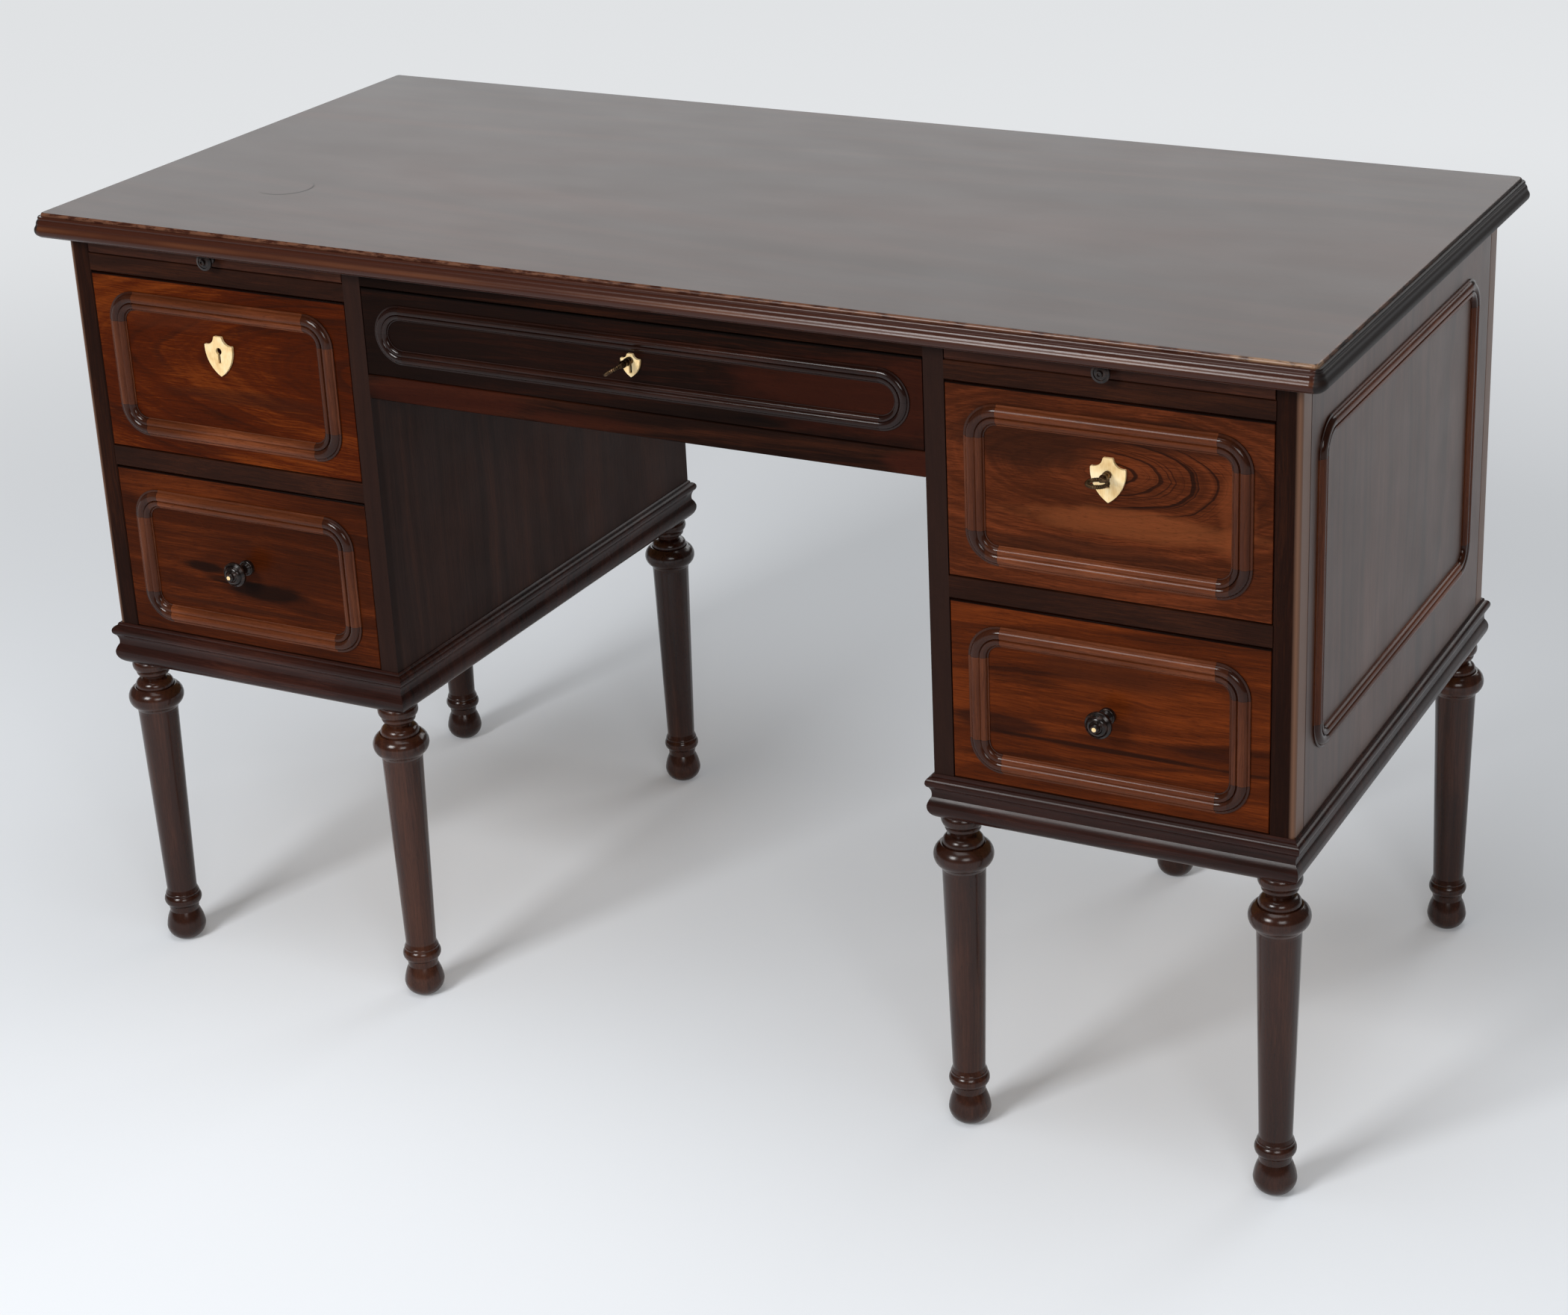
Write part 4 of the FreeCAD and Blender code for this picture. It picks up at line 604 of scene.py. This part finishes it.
def polishedBone():
    material, tree, shader, place = newMaterial("polishedBone")
    streakAt = addNode(tree, "VectorMath", {0: place, 1: perMetre(*boneLook["streakSize"])},
                       operation="MULTIPLY")
    streak = addNode(tree, "TexNoise", {"Vector": streakAt, "Scale": 1.0, "Detail": 3.0})
    yellow = addNode(tree, "TexNoise",
                     {"Vector": place, "Scale": perMetre(boneLook["patchSize"])[0], "Detail": 2.0})
    level = addNode(tree, "Math", {0: streak, 1: boneLook["streak"]}, operation="MULTIPLY")
    level = addNode(tree, "Math", {0: yellow, 1: 1 - boneLook["streak"], 2: level}, operation="MULTIPLY_ADD")
    tone = addNode(tree, "ValToRGB", {"Fac": level}, stops=boneLook["stops"])
    tree.links.new(tone, shader.inputs["Base Color"])
    shader.inputs["Roughness"].default_value = boneLook["roughness"]
    shader.inputs["Subsurface Weight"].default_value = boneLook["glow"]
    shader.inputs["Subsurface Radius"].default_value = boneLook["glowDepth"]
    shader.inputs["Subsurface Scale"].default_value = 1.0
    return material


# Metals: browned bronze, forged iron and aged brass. The eye sees broad patches of tarnish, darker and
# duller than the metal between them; a patch is patchSize mm wide.
def agedMetal(name, stops, roughness, patchSize=4.5455, dullBy=0.15, shineBy=0.1):
    material, tree, shader, place = newMaterial(name)
    tarnish = addNode(tree, "TexNoise",
                      {"Vector": place, "Scale": perMetre(patchSize)[0], "Detail": 5.0, "Roughness": 0.6})
    tone = addNode(tree, "ValToRGB", {"Fac": tarnish}, stops=stops)
    tree.links.new(tone, shader.inputs["Base Color"])
    gloss = addNode(tree, "MapRange",
                    {"Value": tarnish, "To Min": roughness + dullBy, "To Max": roughness - shineBy})
    tree.links.new(gloss, shader.inputs["Roughness"])
    shader.inputs["Metallic"].default_value = 1.0
    return material


materials["ebonised_wood"] = ebonisedWood()
materials["bone"] = polishedBone()
metals = {
    "key_bronze": ("brownedBronze", [(0.35, "#2B2117"), (0.55, "#56422E"), (0.75, "#8F7256")], 0.32),
    "lock_iron": ("forgedIron", [(0.35, "#3B3836"), (0.6, "#66625E"), (0.8, "#8B8681")], 0.45),
    "bolt_brass": ("agedBrass", [(0.35, "#6E5530"), (0.6, "#A88346"), (0.8, "#D0A860")], 0.3),
}
materials.update({slot: agedMetal(*look) for slot, look in metals.items()})

# A node gets the material of its own name, or else the one of its slot.
slotOfNode = {part["node"]: part.get("material_slot") for part in frame["record"]["subparts"]}
bodyOfNode = {node: body for body, nodes in frame["record"]["behaviour"]["bodies"].items() for node in nodes}
materials["apron_rail"] = materials["centre_top_rail"] = materials["apron_rosewood"]
materials["outer_posts"] = materials["post_rosewood"]
materials["inner_side_right"] = materials["inner_side_left"] = materials["inner_rosewood"]
for name, node in frame["nodes"].items():
    node.data.materials.clear()
    node.data.materials.append(materials.get(name) or materials[slotOfNode[name]])
print("materials given to the CAD nodes")

# Eased edges: the flat boards that show get the small rounding that a plane and polish leave.
easing = {
    "width": 0.8 * mm, "segments": 2,
    "sharpFrom": 35.0, "flatWithin": 1.0,      # degrees
    "merge": 0.01 * mm,
    "shortest": 60 * mm,                       # shorter edges are mortises and joints
    "boards": [*fronts, "outer_posts", "front_rails", "centre_top_rail", "apron_rail", "side_panel_right",
               "side_panel_left", "slide_right", "slide_left"],
}


def easedBoard(node):
    # a copy of the CAD mesh, its loose triangles merged and its flat faces joined, then bevelled
    mesh = frame["nodes"][node].data.copy()
    work = bmesh.new()
    work.from_mesh(mesh)
    bmesh.ops.remove_doubles(work, verts=work.verts, dist=easing["merge"])
    bmesh.ops.dissolve_limit(work, angle_limit=math.radians(easing["flatWithin"]), verts=work.verts,
                             edges=work.edges)
    sharp = [edge for edge in work.edges if len(edge.link_faces) == 2
             and edge.calc_length() > easing["shortest"]
             and edge.calc_face_angle(0.0) > math.radians(easing["sharpFrom"])]
    bmesh.ops.bevel(work, geom=sharp, offset=easing["width"], segments=easing["segments"], affect="EDGES",
                    clamp_overlap=True)
    work.to_mesh(mesh)
    work.free()
    mesh.shade_smooth()
    mesh.set_sharp_from_angle(angle=math.radians(easing["sharpFrom"]))
    board = bpy.data.objects.new(f"{node}_eased", mesh)
    scene.collection.objects.link(board)
    flatten = board.modifiers.new("flatFaces", "WEIGHTED_NORMAL")
    flatten.keep_sharp, flatten.weight = True, 100
    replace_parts(board, node)
    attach(board, bodyOfNode[node])


for node in easing["boards"]:
    easedBoard(node)
print("edges eased")


# New pieces are sheets of points: points closer than merge become one, and edges below smallest go.
sheetMesh = {"merge": 0.002 * mm, "smallest": 0.001 * mm, "sharpFrom": 45.0}     # metres, degrees


def surfacePiece(name, sheets, body, slot):
    # each sheet is a grid of points (rows, columns, 3) closed on itself along its columns; rows close too
    # if the flag is set, and rows that shrink to a point are merged into a pole
    vertices, faces, start = [], [], 0
    for points, rowsClose in sheets:
        rows, columns = points.shape[:2]
        number = np.arange(rows * columns).reshape(rows, columns) + start
        below = number if rowsClose else number[:-1]
        above = np.roll(number, -1, axis=0) if rowsClose else number[1:]
        quads = np.stack([below, np.roll(below, -1, axis=1), np.roll(above, -1, axis=1), above], axis=-1)
        vertices.append(points.reshape(-1, 3))
        faces.append(quads.reshape(-1, 4))
        start += rows * columns
    mesh = bpy.data.meshes.new(name)
    mesh.from_pydata(np.concatenate(vertices).tolist(), [], np.concatenate(faces).tolist())
    work = bmesh.new()
    work.from_mesh(mesh)
    bmesh.ops.remove_doubles(work, verts=work.verts, dist=sheetMesh["merge"])
    bmesh.ops.dissolve_degenerate(work, edges=work.edges, dist=sheetMesh["smallest"])
    bmesh.ops.recalc_face_normals(work, faces=work.faces)
    work.to_mesh(mesh)
    work.free()
    mesh.shade_smooth()
    mesh.set_sharp_from_angle(angle=math.radians(sheetMesh["sharpFrom"]))
    piece = bpy.data.objects.new(name, mesh)
    scene.collection.objects.link(piece)
    mesh.materials.append(materials[slot])
    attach(piece, body)
    return piece


# Keys: a turned hollow stem with collars, a stepped bit, and a thin ring bow cut with beads.
keyLook = {
    "shank": 2.4, "shankFrom": 1.0, "bore": 1.28, "boreDepth": 9.0,        # mm
    "bowRadius": 8.5, "bowWire": 1.5, "beadRise": 0.38, "beads": 30, "beadPower": 0.6,
    "bit": (-10.0, -1.8, 5.0, 2.2),                        # far end, root, length and thickness, mm
    "bitStep": (0.36, 0.6, 0.7),                           # where the step is in its length, and its reach
    "bitFromEnd": 2.3,
    "collar": 3.6,
    # shares of the collar's radius and of the length out of the front
    "stem": [(0.67, 0.0), (0.72, 0.06), (0.9, 0.075), (1.0, 0.1), (1.0, 0.15), (0.86, 0.165), (0.86, 0.18),
             (1.0, 0.195), (1.0, 0.22), (0.8, 0.26), (0.8, 0.3), (0.95, 0.34), (0.95, 0.4), (0.7, 0.43),
             (0.62, 0.45), (0.6, 0.5), (0.0, 0.52)],
    "turns": {"key_right": 0.0, "key_centre": -32.0},      # degrees
    "stemSides": 48, "wireSides": 16, "sidesPerBead": 8,
}


def fullTurn(steps):
    # equal angles once round, without the last, which would be the first again
    return np.linspace(0, 2 * math.pi, steps + 1)[:-1]


def turnedStem(reach, inner):
    # a profile of radii and lengths turned about Y: x = radius by cosine, z = radius by sine
    boreEnd = inner - keyLook["boreDepth"] * mm
    bore, shank, shankFrom = (keyLook[key] * mm for key in ("bore", "shank", "shankFrom"))
    profile = [(0.0, boreEnd), (bore, boreEnd), (bore, inner), (shank, inner), (shank, shankFrom)]
    profile += [(across * keyLook["collar"] * mm, -out * reach) for across, out in keyLook["stem"]]
    radii, along = np.array(profile).T
    turn = fullTurn(keyLook["stemSides"])
    lengths = np.repeat(along[:, None], len(turn), axis=1)
    return np.stack([np.outer(radii, np.cos(turn)), lengths, np.outer(radii, np.sin(turn))], axis=-1)


def beadedBow(reach):
    # a ring whose wire swells and shrinks once for each bead: its radius is the bare wire's plus the rise
    # times a power of the sine
    around = fullTurn(keyLook["beads"] * keyLook["sidesPerBead"])[:, None]
    wireTurn = fullTurn(keyLook["wireSides"])[None, :]
    swell = np.abs(np.sin(around * keyLook["beads"] / 2)) ** keyLook["beadPower"]
    wire = (keyLook["bowWire"] + keyLook["beadRise"] * swell) * mm
    across = keyLook["bowRadius"] * mm + wire * np.cos(wireTurn)
    bowMiddle = -(reach - (keyLook["bowRadius"] + keyLook["bowWire"] + keyLook["beadRise"]) * mm)
    sideways, outwards = across * np.cos(around), bowMiddle + across * np.sin(around)
    return np.stack([sideways, outwards, wire * np.sin(wireTurn)], axis=-1)


def steppedBit(inner):
    # a stepped outline carried through its thickness, with a point at the middle of each side
    far, root, length, thick = (v * mm for v in keyLook["bit"])
    start = inner - keyLook["bitFromEnd"] * mm - length
    stepStart, stepEnd = (start + share * length for share in keyLook["bitStep"][:2])
    stepReach = far * keyLook["bitStep"][2]
    outline = np.array([(root, start), (far, start), (far, stepStart), (stepReach, stepStart),
                        (stepReach, stepEnd), (far, stepEnd), (far, start + length), (root, start + length)])
    middle = np.repeat(np.array([[0.6 * far, start + 0.5 * length]]), len(outline), axis=0)
    layers = [(middle, -thick / 2), (outline, -thick / 2), (outline, thick / 2), (middle, thick / 2)]
    return np.stack([np.column_stack([flat, np.full(len(flat), z)]) for flat, z in layers])


for keyName, keyTurn in keyLook["turns"].items():
    low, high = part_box(keyName)
    reach, inner = frontFace - low.y, high.y - frontFace
    # turned about the key's line and set on its middle
    angle = math.radians(keyTurn)
    cosine, sine = math.cos(angle), math.sin(angle)
    spin = np.array([[cosine, 0, sine], [0, 1, 0], [-sine, 0, cosine]])
    keyLine = np.array([(low.x + high.x) / 2, frontFace, (low.z + high.z) / 2])
    grids = ((turnedStem(reach, inner), False), (beadedBow(reach), True), (steppedBit(inner), False))
    sheets = [(grid @ spin.T + keyLine, rowsClose) for grid, rowsClose in grids]
    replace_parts(surfacePiece(f"{keyName}_beaded", sheets, bodyOfNode[keyName], "key_bronze"), keyName)

# Screws: four slotted iron heads hold each lock's cap.
screwLook = {
    "radius": 2.4, "rise": 0.7, "sink": 0.2, "inset": 5.5,     # mm
    "slot": 0.35, "slotDepth": 0.45,                           # mm, half the slot's width and its depth
    "rings": [0.0, 0.25, 0.5, 0.75, 0.92, 1.0, 1.0],           # shares of the radius
    "roundness": 1.25,                                         # the dome's own radius in head radii
    "firstTurn": 0.5, "nextTurn": 1.3,                         # radians by which the slots are turned
    "sides": 32,
}


def slottedHead(x, z, face, slotTurn):
    # a low dome: its height falls with the square of the distance from the middle, and it is cut down
    # where the distance to the slot's middle line is small
    radii, turn = np.array(screwLook["rings"]) * screwLook["radius"] * mm, fullTurn(screwLook["sides"])
    sideways, upwards = np.outer(radii, np.cos(turn)), np.outer(radii, np.sin(turn))
    share = np.hypot(sideways, upwards) / (screwLook["roundness"] * screwLook["radius"] * mm)
    dome = screwLook["rise"] * mm * (1 - share ** 2)
    fromSlot = np.abs(sideways * math.sin(slotTurn) - upwards * math.cos(slotTurn))
    dome = np.where(fromSlot < screwLook["slot"] * mm, dome - screwLook["slotDepth"] * mm, dome)
    dome[-1] = -screwLook["sink"] * mm
    front = np.stack([x + sideways, face + dome, z + upwards], axis=-1)
    back = np.broadcast_to(np.array([x, face - screwLook["sink"] * mm, z]), (1, len(turn), 3))
    return np.concatenate([front, back]), False


for lockName in ("top_drawer_lock_right", "top_drawer_lock_left", "centre_drawer_lock"):
    low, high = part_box(lockName)
    inset = screwLook["inset"] * mm
    places = [(x, z) for z in (low.z + inset, high.z - inset) for x in (low.x + inset, high.x - inset)]
    heads = [slottedHead(x, z, high.y, screwLook["firstTurn"] + screwLook["nextTurn"] * number)
             for number, (x, z) in enumerate(places)]
    surfacePiece(f"{lockName}_screws", heads, bodyOfNode[lockName], "lock_iron")
print("keys and screws made")

# Floor, light and camera.
studio = {
    "floorColour": "#EFF3F8",
    "floorShown": "#ECEEF0",       # what the camera and reflections see mixed in, to keep it pale
    "shownShare": (0.1, 0.85),     # how much of it, near the desk and far off
    "shownReach": (0.9, 3.4),      # metres from the middle, between which it grows
    "floorSize": 40.0,             # metres
    "worldColour": "#F2F2F1",
    "worldStrength": 0.13,
    "cardTint": (0.95, 0.985, 1.0),
    # place, aim, width and depth in metres, watts
    "softboxes": {
        "keyLight": ((-0.9, -3.1, 2.4), (0.0, 0.0, 0.4), 1.1, 1.1, 84.0),
        "fillLight": ((2.3, -3.2, 2.3), (0.0, 0.0, 0.3), 1.6, 1.2, 40.0),
        "overheadLight": ((0.3, -0.4, 4.0), (0.0, 0.0, 0.5), 3.0, 2.4, 62.0),
        "backFill": ((1.4, 4.4, 2.8), (0.0, 0.0, 0.4), 2.4, 1.6, 34.0),
        "backLight": ((-2.4, 5.2, 2.7), (0.0, 0.0, 0.6), 6.5, 2.8, 124.0),
    },
}
half = studio["floorSize"] / 2
floorMesh = bpy.data.meshes.new("floor")
corners = [(-half, -half, 0), (half, -half, 0), (half, half, 0), (-half, half, 0)]
floorMesh.from_pydata(corners, [], [(0, 1, 2, 3)])
floor = bpy.data.objects.new("floor", floorMesh)
scene.collection.objects.link(floor)

# Studio paper: matt, pale, rolled out flat. It keeps the desk's shadow and grows lighter further off.
paper = bpy.data.materials.new("studioPaper")
paper.use_nodes = True
tree = paper.node_tree
tree.nodes.clear()
lit = addNode(tree, "BsdfDiffuse", {"Color": colour(studio["floorColour"])})
shown = addNode(tree, "Emission", {"Color": colour(studio["floorShown"]), "Strength": 1.0})
rays = addNode(tree, "LightPath", out=None).outputs
anyRay = rays["Is Camera Ray"]
for ray in ("Is Glossy Ray", "Is Transmission Ray"):
    anyRay = addNode(tree, "Math", {0: anyRay, 1: rays[ray]}, operation="MAXIMUM")
paperPlace = addNode(tree, "TexCoord", out="Object")
distance = addNode(tree, "VectorMath", {0: paperPlace}, out="Value", operation="LENGTH")
share = addNode(tree, "MapRange", {
    "Value": distance, "From Min": studio["shownReach"][0], "From Max": studio["shownReach"][1],
    "To Min": studio["shownShare"][0], "To Max": studio["shownShare"][1]}, interpolation_type="SMOOTHSTEP")
amount = addNode(tree, "Math", {0: anyRay, 1: share}, operation="MULTIPLY")
mixedPaper = addNode(tree, "MixShader", {0: amount, 1: lit, 2: shown})
addNode(tree, "OutputMaterial", {0: mixedPaper}, out=None)
floorMesh.materials.append(paper)

world = bpy.data.worlds.new("studio")
scene.world = world
world.use_nodes = True
world.node_tree.nodes.clear()
sky = addNode(world.node_tree, "Background",
              {"Color": colour(studio["worldColour"]), "Strength": studio["worldStrength"]})
addNode(world.node_tree, "OutputWorld", {0: sky}, out=None)

for name, (place, aim, across, deep, watts) in studio["softboxes"].items():
    data = bpy.data.lights.new(name, "AREA")
    data.shape, data.size, data.size_y, data.energy = "RECTANGLE", across, deep, watts
    lamp = bpy.data.objects.new(name, data)
    lamp.location = place
    lamp.rotation_euler = (Vector(aim) - Vector(place)).to_track_quat("-Z", "Y").to_euler()
    if name == "backLight":        # a cool card that gives the sheen on the top and lights nothing else
        lamp.visible_diffuse = False
        data.color = studio["cardTint"]
    scene.collection.objects.link(lamp)

# The camera's place and aim come from the desk's own corners in the photograph.
view = {
    "place": (1.35322, -2.45795, 1.54978),
    "yaw": -0.45621, "pitch": 0.38498, "roll": -0.02942,       # radians
    "focalPixels": 4140.41,
    "centrePixels": (1240.0, 744.0),
    "framePixels": (2100.0, 1761.0),
    "sensor": 36.0,                                            # mm
}
width, height = view["framePixels"]
yaw, pitch, roll = view["yaw"], view["pitch"], view["roll"]
ahead = Vector((math.sin(yaw) * math.cos(pitch), math.cos(yaw) * math.cos(pitch), -math.sin(pitch)))
level = Vector((math.cos(yaw), -math.sin(yaw), 0.0))
above = level.cross(ahead)
right = level * math.cos(roll) + above * math.sin(roll)
up = above * math.cos(roll) - level * math.sin(roll)
cameraData = bpy.data.cameras.new("camera")
cameraData.sensor_fit = "HORIZONTAL"
cameraData.sensor_width = view["sensor"]
cameraData.lens = view["focalPixels"] / width * view["sensor"]
cameraData.shift_x = (width / 2 - view["centrePixels"][0]) / width
cameraData.shift_y = (view["centrePixels"][1] - height / 2) / width
cameraData.clip_start, cameraData.clip_end = 0.05, 100.0
camera = bpy.data.objects.new("camera", cameraData)
turn = Matrix((right, up, -ahead)).transposed()
camera.matrix_world = Matrix.Translation(view["place"]) @ turn.to_4x4()
scene.collection.objects.link(camera)
scene.camera = camera
scene.view_settings.view_transform = "Standard"
print("floor, light and camera in place")
